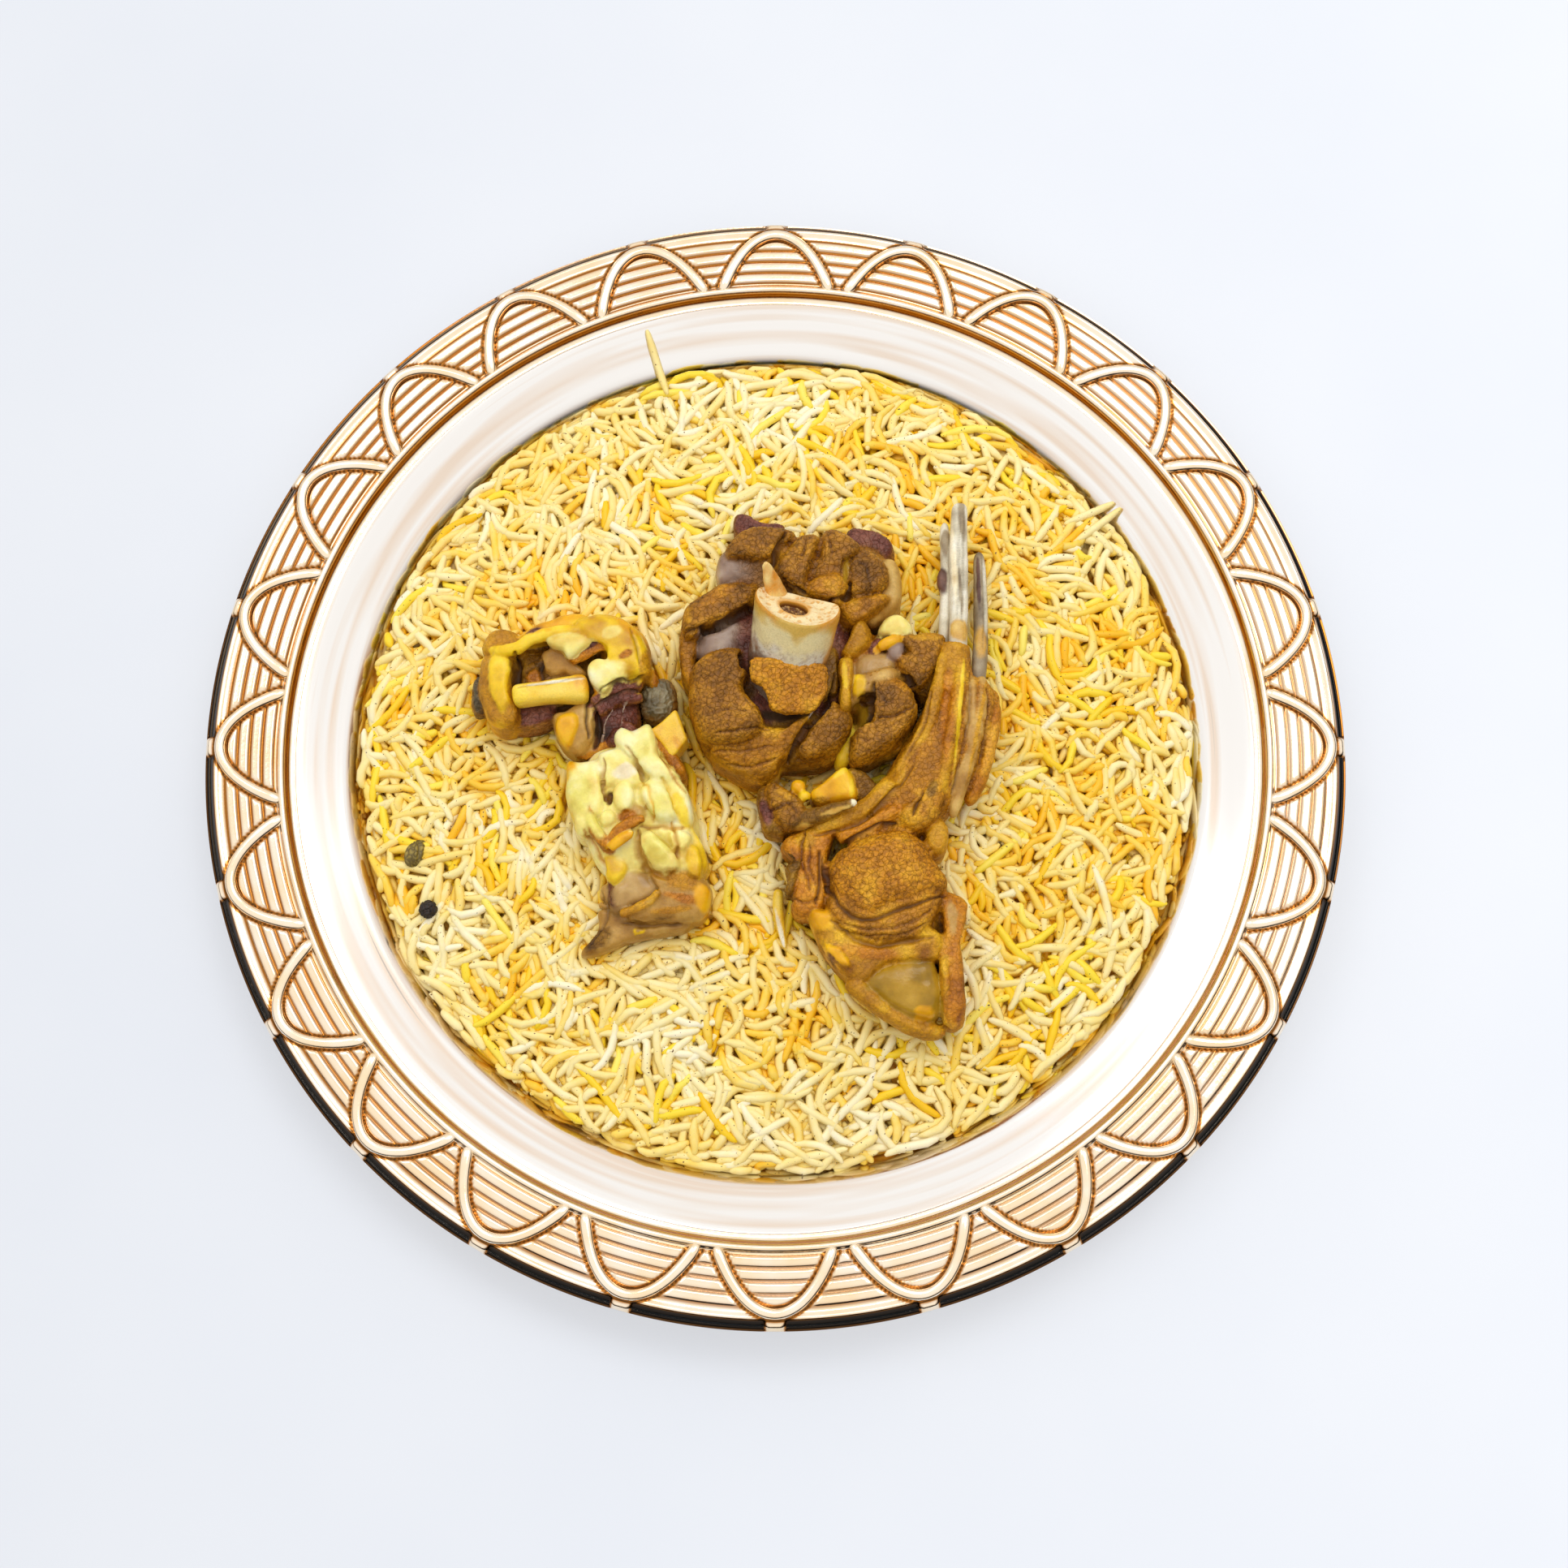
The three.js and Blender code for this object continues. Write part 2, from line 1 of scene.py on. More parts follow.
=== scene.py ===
"""Lamb biryani on a round serving tray: a gilt rimmed steel tray, yellow long grain rice and lamb on the bone.

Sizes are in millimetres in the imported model's frame: the origin is the middle of the tray's underside, +Z is up
and +Y is away from the person served. They become metres where a mesh is made.
"""

import logging  # noqa: E402
import math  # noqa: E402
from dataclasses import dataclass, field  # noqa: E402
from enum import Enum  # noqa: E402
from typing import Any, Sequence  # noqa: E402

import bpy  # noqa: E402
import numpy as np  # noqa: E402
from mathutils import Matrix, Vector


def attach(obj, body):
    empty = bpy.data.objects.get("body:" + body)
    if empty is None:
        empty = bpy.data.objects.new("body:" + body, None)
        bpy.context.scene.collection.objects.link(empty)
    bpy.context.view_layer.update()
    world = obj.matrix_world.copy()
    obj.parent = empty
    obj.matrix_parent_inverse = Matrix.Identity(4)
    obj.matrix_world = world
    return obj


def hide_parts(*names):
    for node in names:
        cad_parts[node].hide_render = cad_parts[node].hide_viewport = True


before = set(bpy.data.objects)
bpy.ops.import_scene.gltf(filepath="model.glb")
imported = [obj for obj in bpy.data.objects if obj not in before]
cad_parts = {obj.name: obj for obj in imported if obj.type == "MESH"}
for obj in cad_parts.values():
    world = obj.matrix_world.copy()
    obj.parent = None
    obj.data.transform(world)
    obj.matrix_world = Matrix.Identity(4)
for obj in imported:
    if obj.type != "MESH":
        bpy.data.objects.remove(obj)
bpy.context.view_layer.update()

LOG = logging.getLogger("biryani")
MM = 0.001
BODY = "root"
SEAT = 22.15  # the level on which the meat lies, the tops of the highest grains
FOOT = SEAT - 0.2  # the flat underside of the meat, sunk a little between the grains
FAR = 999.0  # a height or distance where there is nothing


# ---------------------------------------------------------------------------------------------- mesh tools


@dataclass
class Surface:
    """A mesh in millimetres with the values painted on its points.

    Attributes:
        points: (n, 3) places.
        quads: (m, 4) point numbers of the four sided faces, seen from outside anticlockwise.
        triangles: (k, 3) point numbers of the three sided faces.
        paint: values by attribute name, (n,) for a number and (n, 3) for a linear colour.
    """

    points: np.ndarray
    quads: np.ndarray
    triangles: np.ndarray = field(default_factory=lambda: np.zeros((0, 3), int))
    paint: dict[str, np.ndarray] = field(default_factory=dict)


def merged(parts: Sequence[Surface]) -> Surface:
    """Several surfaces as one, each part's faces renumbered past the points of those before it.

    Args:
        parts: surfaces that are painted with the same names.

    Returns:
        One surface.
    """
    starts = np.cumsum([0] + [len(part.points) for part in parts[:-1]])
    return Surface(
        np.concatenate([part.points for part in parts]),
        np.concatenate([part.quads + start for part, start in zip(parts, starts)]),
        np.concatenate([part.triangles + start for part, start in zip(parts, starts)]),
        {name: np.concatenate([part.paint[name] for part in parts]) for name in parts[0].paint},
    )


def outward(surface: Surface) -> Surface:
    """The surface with its faces turned over if they enclose a negative volume."""
    quads = surface.quads
    faces = np.concatenate([quads[:, :3], quads[:, [0, 2, 3]], surface.triangles])
    a, b, c = (surface.points[faces[:, k]] for k in range(3))
    if np.einsum("ij,ij->i", a, np.cross(b, c)).sum() < 0:
        surface.quads = surface.quads[:, ::-1]
        surface.triangles = surface.triangles[:, ::-1]
    return surface


def ring_quads(rows: int, columns: int, closed_rows: bool = False) -> np.ndarray:
    """Faces of a grid whose last column meets its first; its points are numbered row by row.

    Args:
        rows: number of rows of points.
        columns: number of points round each row.
        closed_rows: whether the last row also meets the first, as on a ring.

    Returns:
        (m, 4) point numbers.
    """
    row = np.arange(rows if closed_rows else rows - 1)[:, None]
    column = np.arange(columns)[None, :]
    following = (row + 1) % rows
    beside = (column + 1) % columns
    corners = ((row, column), (row, beside), (following, beside), (following, column))
    return np.stack([r * columns + c for r, c in corners], -1).reshape(-1, 4)


def capped_tube(rings: np.ndarray) -> Surface:
    """A tube closed by a point at each end, the mean of the end ring.

    Args:
        rings: (rows, columns, 3) points, each row anticlockwise seen from the tube's far end.

    Returns:
        A closed surface.
    """
    rows, columns, _ = rings.shape
    tips = np.stack([rings[0].mean(0), rings[-1].mean(0)])
    points = np.concatenate([rings.reshape(-1, 3), tips])
    column = np.arange(columns)
    beside = (column + 1) % columns
    first = np.stack([np.full(columns, rows * columns), beside, column], -1)
    top = (rows - 1) * columns
    last = np.stack([np.full(columns, rows * columns + 1), top + column, top + beside], -1)
    return Surface(points, ring_quads(rows, columns), np.concatenate([first, last]))


def swept(
    path: np.ndarray, half_width: np.ndarray, half_height: np.ndarray, sides: int, square: float
) -> np.ndarray:
    """Rings of a bar along a path: at each station a superellipse stands square to the path.

    The superellipse's point at angle a is (sign(cos a) |cos a|^(2/square) half_width,
    sign(sin a) |sin a|^(2/square) half_height).

    Args:
        path: (rows, 3) stations.
        half_width: (rows,) half size sideways.
        half_height: (rows,) half size upwards.
        sides: number of points in a ring.
        square: 2 for an ellipse, more for squarer shoulders.

    Returns:
        (rows, sides, 3) points.
    """
    along = np.gradient(path, axis=0)
    along /= np.linalg.norm(along, axis=1, keepdims=True)
    upright = np.where(np.abs(along[:, 2:3]) > 0.9, [[0.0, 1.0, 0.0]], [[0.0, 0.0, 1.0]])
    sideways = np.cross(along, upright)
    sideways /= np.linalg.norm(sideways, axis=1, keepdims=True)
    over = np.cross(sideways, along)
    angle = np.linspace(0, 2 * math.pi, sides, endpoint=False)
    across = np.sign(np.cos(angle)) * np.abs(np.cos(angle)) ** (2 / square)
    rise = np.sign(np.sin(angle)) * np.abs(np.sin(angle)) ** (2 / square)
    return (
        path[:, None]
        + sideways[:, None] * (across[None, :, None] * half_width[:, None, None])
        + over[:, None] * (rise[None, :, None] * half_height[:, None, None])
    )


def drawn(line: str) -> np.ndarray:
    """The (n, k) numbers of a line drawn as "0,0 4,1 6,3", a station after each space."""
    return np.array([[float(number) for number in station.split(",")] for station in line.split()])


def smooth_path(stations: Sequence[Sequence[float]], count: int) -> np.ndarray:
    """A Catmull-Rom curve through stations, for places and sizes alike.

    Args:
        stations: (n, k) values to pass through.
        count: number of rows wanted.

    Returns:
        (count, k) values.
    """
    knots = np.asarray(stations, float)
    padded = np.concatenate([2 * knots[:1] - knots[1:2], knots, 2 * knots[-1:] - knots[-2:-1]])
    place = np.linspace(0, len(knots) - 1, count)
    start = np.minimum(place.astype(int), len(knots) - 2)
    t = (place - start)[:, None]
    a, b, c, d = (padded[start + k] for k in range(4))
    return 0.5 * (2 * b + (c - a) * t + (2 * a - 5 * b + 4 * c - d) * t**2 + (3 * b - a - 3 * c + d) * t**3)


def hashed(cell: np.ndarray, seed: int) -> np.ndarray:
    """A repeatable number from 0 to 1 for each whole-numbered cell, by multiplying and mixing its bits.

    Args:
        cell: (..., 3) whole numbers.
        seed: which set of numbers.

    Returns:
        (...) values.
    """
    whole = cell.astype(np.int64).astype(np.uint64)
    value = (
        whole[..., 0] * np.uint64(73856093)
        ^ whole[..., 1] * np.uint64(19349663)
        ^ whole[..., 2] * np.uint64(83492791)
        ^ np.uint64(seed * 2654435761 % 2**32)
    )
    value ^= value >> np.uint64(13)
    value *= np.uint64(1274126177)
    value ^= value >> np.uint64(16)
    return (value % np.uint64(1000003)).astype(float) / 1000003


def soft_noise(points: np.ndarray, size: float, seed: int, layers: int = 1) -> np.ndarray:
    """Value noise from -1 to 1: hashed corners of a lattice blended by 3t^2 - 2t^3, in ever finer layers.

    Args:
        points: (n, 3) places in millimetres.
        size: spacing of the lattice in millimetres.
        seed: which noise.
        layers: how many layers, each half the size and half the height of the one before.

    Returns:
        (n,) values.
    """
    total = np.zeros(len(points))
    for layer in range(layers):
        place = points / (size / 2**layer) + 37.1 * layer
        corner = np.floor(place)
        t = place - corner
        t = t * t * (3 - 2 * t)
        value = np.zeros(len(points))
        for step in np.ndindex(2, 2, 2):
            weight = np.prod(np.where(step, t, 1 - t), axis=1)
            value += weight * hashed(corner + step, seed + 11 * layer)
        total += (2 * value - 1) / 2**layer
    return total / (2 - 0.5 ** (layers - 1))


def crack_noise(points: np.ndarray, size: Sequence[float], seed: int) -> tuple[np.ndarray, np.ndarray]:
    """How near each point is to a border between scattered grains: the gap between its two nearest seeds.

    Args:
        points: (n, 3) places in millimetres.
        size: the three spacings of the seeds in millimetres.
        seed: which scatter.

    Returns:
        (n,) from 0 on a border to about 1 in the middle of a grain, and (n,) a number of each grain's own.
    """
    place = points / np.asarray(size, float)
    home = np.floor(place)
    nearest = np.full(len(points), 9.0)
    second = np.full(len(points), 9.0)
    own = np.zeros(len(points))
    for step in np.ndindex(3, 3, 3):
        cell = home + np.array(step) - 1
        spot = cell + np.stack([hashed(cell, seed + k) for k in range(3)], -1)
        away = np.linalg.norm(place - spot, axis=1)
        closer = away < nearest
        second = np.where(closer, nearest, np.minimum(second, away))
        own = np.where(closer, hashed(cell, seed + 7), own)
        nearest = np.where(closer, away, nearest)
    return np.clip(second - nearest, 0, 1), own


def about_z(turn: float) -> np.ndarray:
    """(3, 3) matrix that turns by that many radians about Z."""
    return np.array([[math.cos(turn), -math.sin(turn), 0], [math.sin(turn), math.cos(turn), 0], [0, 0, 1]])


def own_axes(x: np.ndarray, y: np.ndarray, degrees: float) -> tuple[np.ndarray, np.ndarray]:
    """The parts of (x, y) along and across a direction that lies so many degrees from +X."""
    turn = math.radians(degrees)
    return x * math.cos(turn) + y * math.sin(turn), y * math.cos(turn) - x * math.sin(turn)


def ease(value: np.ndarray, low: float, high: float) -> np.ndarray:
    """0 below low, 1 above high, and 3t^2 - 2t^3 between them."""
    t = np.clip((value - low) / (high - low), 0, 1)
    return t * t * (3 - 2 * t)


def make_object(name: str, surface: Surface, smooth: bool = True) -> bpy.types.Object:
    """Writes a surface into a new mesh in metres and shows it.

    Args:
        name: the object's name.
        surface: the mesh in millimetres, with its paint.
        smooth: whether the faces are shaded as a curved surface.

    Returns:
        The object, at the origin.
    """
    mesh = bpy.data.meshes.new(name)
    mesh.vertices.add(len(surface.points))
    mesh.vertices.foreach_set("co", (surface.points * MM).astype(np.float32).ravel())
    corners = np.concatenate([surface.quads.ravel(), surface.triangles.ravel()]).astype(np.int32)
    sizes = np.concatenate([np.full(len(surface.quads), 4), np.full(len(surface.triangles), 3)])
    mesh.loops.add(len(corners))
    mesh.loops.foreach_set("vertex_index", corners)
    mesh.polygons.add(len(sizes))
    mesh.polygons.foreach_set("loop_start", np.concatenate([[0], np.cumsum(sizes)[:-1]]).astype(np.int32))
    mesh.polygons.foreach_set("use_smooth", np.full(len(sizes), smooth))
    for key, values in surface.paint.items():
        if values.ndim == 1:
            mesh.attributes.new(key, "FLOAT", "POINT").data.foreach_set("value", values.astype(np.float32))
        else:
            rgba = np.concatenate([values, np.ones((len(values), 1))], 1).astype(np.float32)
            mesh.attributes.new(key, "FLOAT_COLOR", "POINT").data.foreach_set("color", rgba.ravel())
    mesh.update(calc_edges=True)
    mesh.validate()
    made = bpy.data.objects.new(name, mesh)
    bpy.context.scene.collection.objects.link(made)
    return made


def read_surface(thing: bpy.types.Object) -> Surface:
    """The evaluated mesh of an object whose faces are all four sided, as a surface in millimetres."""
    graph = bpy.context.evaluated_depsgraph_get()
    mesh = thing.evaluated_get(graph).to_mesh()
    points = np.zeros(len(mesh.vertices) * 3, np.float32)
    mesh.vertices.foreach_get("co", points)
    corners = np.zeros(len(mesh.loops), np.int32)
    mesh.loops.foreach_get("vertex_index", corners)
    return Surface(points.reshape(-1, 3).astype(float) / MM, corners.reshape(-1, 4))


def point_normals(points: np.ndarray, quads: np.ndarray) -> np.ndarray:
    """Unit normals of points, each the sum of the cross products of its faces' diagonals.

    Args:
        points: (n, 3) places.
        quads: (m, 4) faces.

    Returns:
        (n, 3) unit vectors.
    """
    face = np.cross(points[quads[:, 2]] - points[quads[:, 0]], points[quads[:, 3]] - points[quads[:, 1]])
    total = np.zeros_like(points)
    for axis in range(3):
        spread = np.repeat(face[:, axis], 4)
        total[:, axis] = np.bincount(quads.ravel(), spread, minlength=len(points))
    return total / np.maximum(np.linalg.norm(total, axis=1, keepdims=True), 1e-9)


def neighbour_mean(values: np.ndarray, quads: np.ndarray) -> np.ndarray:
    """The mean of each point's neighbours along the edges of its faces.

    Args:
        values: (n, k) values on points.
        quads: (m, 4) faces.

    Returns:
        (n, k) means.
    """
    ends = np.concatenate([quads[:, [0, 1]], quads[:, [1, 2]], quads[:, [2, 3]], quads[:, [3, 0]]])
    ends = np.concatenate([ends, ends[:, ::-1]])
    count = np.maximum(np.bincount(ends[:, 0], minlength=len(values)), 1)
    sums = [np.bincount(ends[:, 0], column[ends[:, 1]], minlength=len(values)) for column in values.T]
    return np.stack([total / count for total in sums], -1)


# ---------------------------------------------------------------------------------------------- material tools


Link = tuple[bpy.types.Node, Any]
Stops = Sequence[tuple[float, str]]


def linear(code: str) -> tuple[float, float, float]:
    """An sRGB hex colour such as #c0ffee as linear red, green and blue."""
    parts = [int(code[i : i + 2], 16) / 255 for i in (1, 3, 5)]
    return tuple(c / 12.92 if c <= 0.04045 else ((c + 0.055) / 1.055) ** 2.4 for c in parts)


@dataclass
class Recipe:
    """A finish in the making: each method adds one node and returns a link, the node with its output.

    Attributes:
        made: the material or world that holds the nodes, emptied first.
        place: the link to Object coordinates.
    """

    made: Any
    place: Link = field(init=False)

    def __post_init__(self) -> None:
        """Empties the node tree and adds the coordinates."""
        self.made.use_nodes = True
        self.made.node_tree.nodes.clear()
        self.place = self.add("TexCoord", "Object")

    def add(self, kind: str, output: Any, inputs: dict[Any, Any] | None = None, **settings: Any) -> Link:
        """Adds a node, sets its properties, and fills or links its sockets.

        Args:
            kind: the node's type name after "ShaderNode".
            output: name or number of the output that is wanted.
            inputs: links, hex colours or plain values, by the socket's name or number.
            settings: property values by name.

        Returns:
            A link to the output.
        """
        node = self.made.node_tree.nodes.new("ShaderNode" + kind)
        for name, value in settings.items():
            setattr(node, name, value)
        for name, value in (inputs or {}).items():
            if isinstance(value, tuple) and isinstance(value[0], bpy.types.Node):
                self.made.node_tree.links.new(value[0].outputs[value[1]], node.inputs[name])
            else:
                node.inputs[name].default_value = (*linear(value), 1) if isinstance(value, str) else value
        return node, output

    def painted(self, name: str, output: str = "Fac") -> Link:
        """What is painted on the mesh under a name: a number, or with the output Color a colour."""
        return self.add("Attribute", output, attribute_name=name)

    def noise(self, size: float, detail: float, roughness: float = 0.5, output: str = "Fac") -> Link:
        """Noise with features that are size millimetres apart."""
        sockets = {"Vector": self.place, "Scale": 1 / (size * MM), "Detail": detail, "Roughness": roughness}
        return self.add("TexNoise", output, sockets)

    def cells(self, size: float, place: Link) -> Link:
        """Distance to the border between scattered cells that are size millimetres apart."""
        sockets = {"Vector": place, "Scale": 1 / (size * MM)}
        return self.add("TexVoronoi", "Distance", sockets, feature="DISTANCE_TO_EDGE")

    def ranged(self, value: Link, source: Sequence[float], target: Sequence[float] = (0, 1)) -> Link:
        """A value led from one range to another, and held at its ends."""
        ends = {"From Min": source[0], "From Max": source[1], "To Min": target[0], "To Max": target[1]}
        return self.add("MapRange", "Result", {"Value": value, **ends})

    def ramp(self, value: Link, stops: Stops) -> Link:
        """The colour at a value between (value, hex colour) stops."""
        link = self.add("ValToRGB", "Color", {"Fac": value})
        elements = link[0].color_ramp.elements
        while len(elements) < len(stops):
            elements.new(0.5)
        for element, (at, code) in zip(elements, stops):
            element.position = at
            element.color = (*linear(code), 1)
        return link

    def blend(self, share: Link, first: Any, second: Any) -> Link:
        """The first colour, or as much of the second as the share says."""
        return self.add("Mix", 2, {0: share, 6: first, 7: second}, data_type="RGBA")

    def reckon(self, operation: str, *terms: Any) -> Link:
        """The result of a Math node's operation on numbers."""
        return self.add("Math", "Value", dict(enumerate(terms)), operation=operation)

    def scaled(self, vector: Link, factor: Any) -> Link:
        """A vector or colour times a number."""
        return self.add("VectorMath", "Vector", {0: vector, "Scale": factor}, operation="SCALE")

    def bump(self, height: Link, strength: float, distance: float) -> Link:
        """Normals of a relief whose whole height is that distance in metres."""
        return self.add("Bump", "Normal", {"Strength": strength, "Distance": distance, "Height": height})

    def closed(self, inputs: dict[str, Any]) -> bpy.types.Material:
        """Adds the principled shader with its inputs and the output node, and returns the material."""
        self.add("OutputMaterial", None, {"Surface": self.add("BsdfPrincipled", "BSDF", inputs)})
        return self.made


def recipe(name: str) -> Recipe:
    """The recipe of a new material."""
    return Recipe(bpy.data.materials.new(name))


@dataclass(frozen=True)
class GiltPlating:
    """Electroplated brass-gold on pressed steel: a mirror that turns light amber, with painted shade in its
    recesses.
    """

    colour: str = "#fae0b8"
    worn: str = "#fef2e0"
    # amber and the near black after it are painted shade for the grooves, arch edges, bead and dark lip
    amber: str = "#b0702c"
    deep_shade: str = "#28221c"
    roughness: float = 0.11
    haze_size: float = 14.0
    pebble_size: float = 1.1

    def build(self) -> bpy.types.Material:
        """Broad haze in the colour, amber then near black by the painted shade, and the press's pebbling."""
        mix = recipe("electroplated_gilt_steel")
        haze = mix.noise(self.haze_size, 3.0)
        tint = mix.ramp(haze, ((0.35, self.colour), (0.75, self.worn)))
        recess = mix.painted("recess")
        shaded_tint = mix.blend(mix.ranged(recess, (0, 0.5)), tint, self.amber)
        coat = mix.blend(mix.ranged(recess, (0.5, 1)), shaded_tint, self.deep_shade)
        rub = mix.ranged(haze, (0, 1), (self.roughness * 0.8, self.roughness * 1.4))
        bump = mix.bump(mix.noise(self.pebble_size, 2.0), 0.12, 0.0002)
        return mix.closed({"Base Color": coat, "Metallic": 1.0, "Roughness": rub, "Normal": bump})


@dataclass(frozen=True)
class PolishedSteel:
    """Spun and polished stainless steel: nearly a mirror, with faint streaks the way it was spun and wiped.

    At the back, where the wall turns into the ledge, it is dimmed by a painted dark reflection of the rice's
    edge.
    """

    colour: str = "#f5f1ec"
    smeared: str = "#ead8c6"
    wiped: str = "#a59c98"
    dimmed: str = "#333b45"
    roughness: float = 0.13

    def build(self) -> bpy.types.Material:
        """The painted streaks mix the tints and two roughnesses; a painted dark reflection at the turn dims them.
        """
        mix = recipe("polished_stainless_steel")
        smear = mix.painted("streak")
        stops = ((0.4, self.colour), (0.7, self.smeared), (0.8, self.smeared), (0.97, self.wiped))
        tint = mix.blend(mix.painted("turn"), mix.ramp(smear, stops), self.dimmed)
        rub = mix.ranged(smear, (0, 1), (self.roughness * 0.7, self.roughness * 1.5))
        return mix.closed({"Base Color": tint, "Metallic": 1.0, "Roughness": rub})


@dataclass(frozen=True)
class CookedRice:
    """Steamed basmati: moist, slightly see-through starch that took up saffron unevenly."""

    name: str
    stops: Stops
    speck: str = "#6a4520"

    def build(self) -> bpy.types.Material:
        """The grain's tone picks the colour, soft clouding moves it, and ground spice leaves rare specks."""
        mix = recipe(self.name)
        cloud = mix.noise(2.5, 2.0)
        level = mix.reckon("ADD", mix.painted("tone"), mix.ranged(cloud, (0, 1), (-0.16, 0.16)))
        spot = mix.ranged(mix.noise(0.7, 0.0), (0.79, 0.83))
        return mix.closed(
            {
                "Base Color": mix.blend(spot, mix.ramp(level, self.stops), self.speck),
                "Roughness": 0.36,
                "IOR": 1.4,
                "Subsurface Weight": 0.15,
                "Subsurface Radius": (1.0, 0.8, 0.5),
                "Subsurface Scale": 0.0012,
                "Normal": mix.bump(cloud, 0.25, 0.0003),
            }
        )


@dataclass(frozen=True)
class RiceBed:
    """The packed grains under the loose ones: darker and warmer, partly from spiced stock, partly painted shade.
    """

    deep: str = "#f2a818"
    light: str = "#fac840"

    def build(self) -> bpy.types.Material:
        """Two tints mixed at the size of a grain."""
        mix = recipe("packed_cooked_rice")
        grain = mix.noise(3, 4.0)
        tint = mix.ramp(grain, ((0.35, self.deep), (0.65, self.light)))
        return mix.closed({"Base Color": tint, "Roughness": 0.5, "Normal": mix.bump(grain, 0.6, 0.001)})


@dataclass(frozen=True)
class DriedSpice:
    """A dried seed or pod: matt, wrinkled skin."""

    name: str
    dark: str
    light: str
    wrinkle: float
    roughness: float = 0.6

    def build(self) -> bpy.types.Material:
        """Cells of the wrinkle's size mix two tints and stand up as a bump."""
        mix = recipe(self.name)
        cell = mix.cells(self.wrinkle, mix.place)
        tint = mix.ramp(cell, ((0.0, self.dark), (0.4, self.light)))
        bump = mix.bump(cell, 0.5, 0.0004)
        return mix.closed({"Base Color": tint, "Roughness": self.roughness, "Normal": bump})


@dataclass(frozen=True)
class OpalTable:
    """A matt white table whose emission is painted light: a faint glow, stronger to the right, so shadows stay
    pale.
    """

    bright: str = "#a8abb0"
    cool: str = "#a2a6ad"
    glow: str = "#f6f9ff"
    half_width: float = 0.24
    strength: tuple[float, float] = (0.44, 0.53)

    def build(self) -> bpy.types.Material:
        """Clouds about 150 mm across mix two near whites, and the painted glow grows from left to right."""
        mix = recipe("opal_acrylic_sheet")
        side = mix.add("SeparateXYZ", "X", {"Vector": mix.place})
        return mix.closed(
            {
                "Base Color": mix.ramp(mix.noise(150, 5.0), ((0.35, self.cool), (0.7, self.bright))),
                "Roughness": 0.85,
                "Specular IOR Level": 0.2,
                "Emission Color": self.glow,
                "Emission Strength": mix.ranged(side, (-self.half_width, self.half_width), self.strength),
            }
        )


def settle(name: str, surface: Surface, finish: Any, nodes: Sequence[str]) -> None:
    """Makes a piece, dresses it and ties it to the frame.

    Args:
        name: the piece's name.
        surface: its mesh, in place.
        finish: a finish with a build method, or a material that is ready.
        nodes: the CAD nodes that the piece stands for.
    """
    thing = make_object(name, surface)
    thing.data.materials.append(finish if isinstance(finish, bpy.types.Material) else finish.build())
    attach(thing, BODY)
    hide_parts(*nodes)
    LOG.info("%s: %d faces", thing.name, len(thing.data.polygons))


# ---------------------------------------------------------------------------------------------- tray


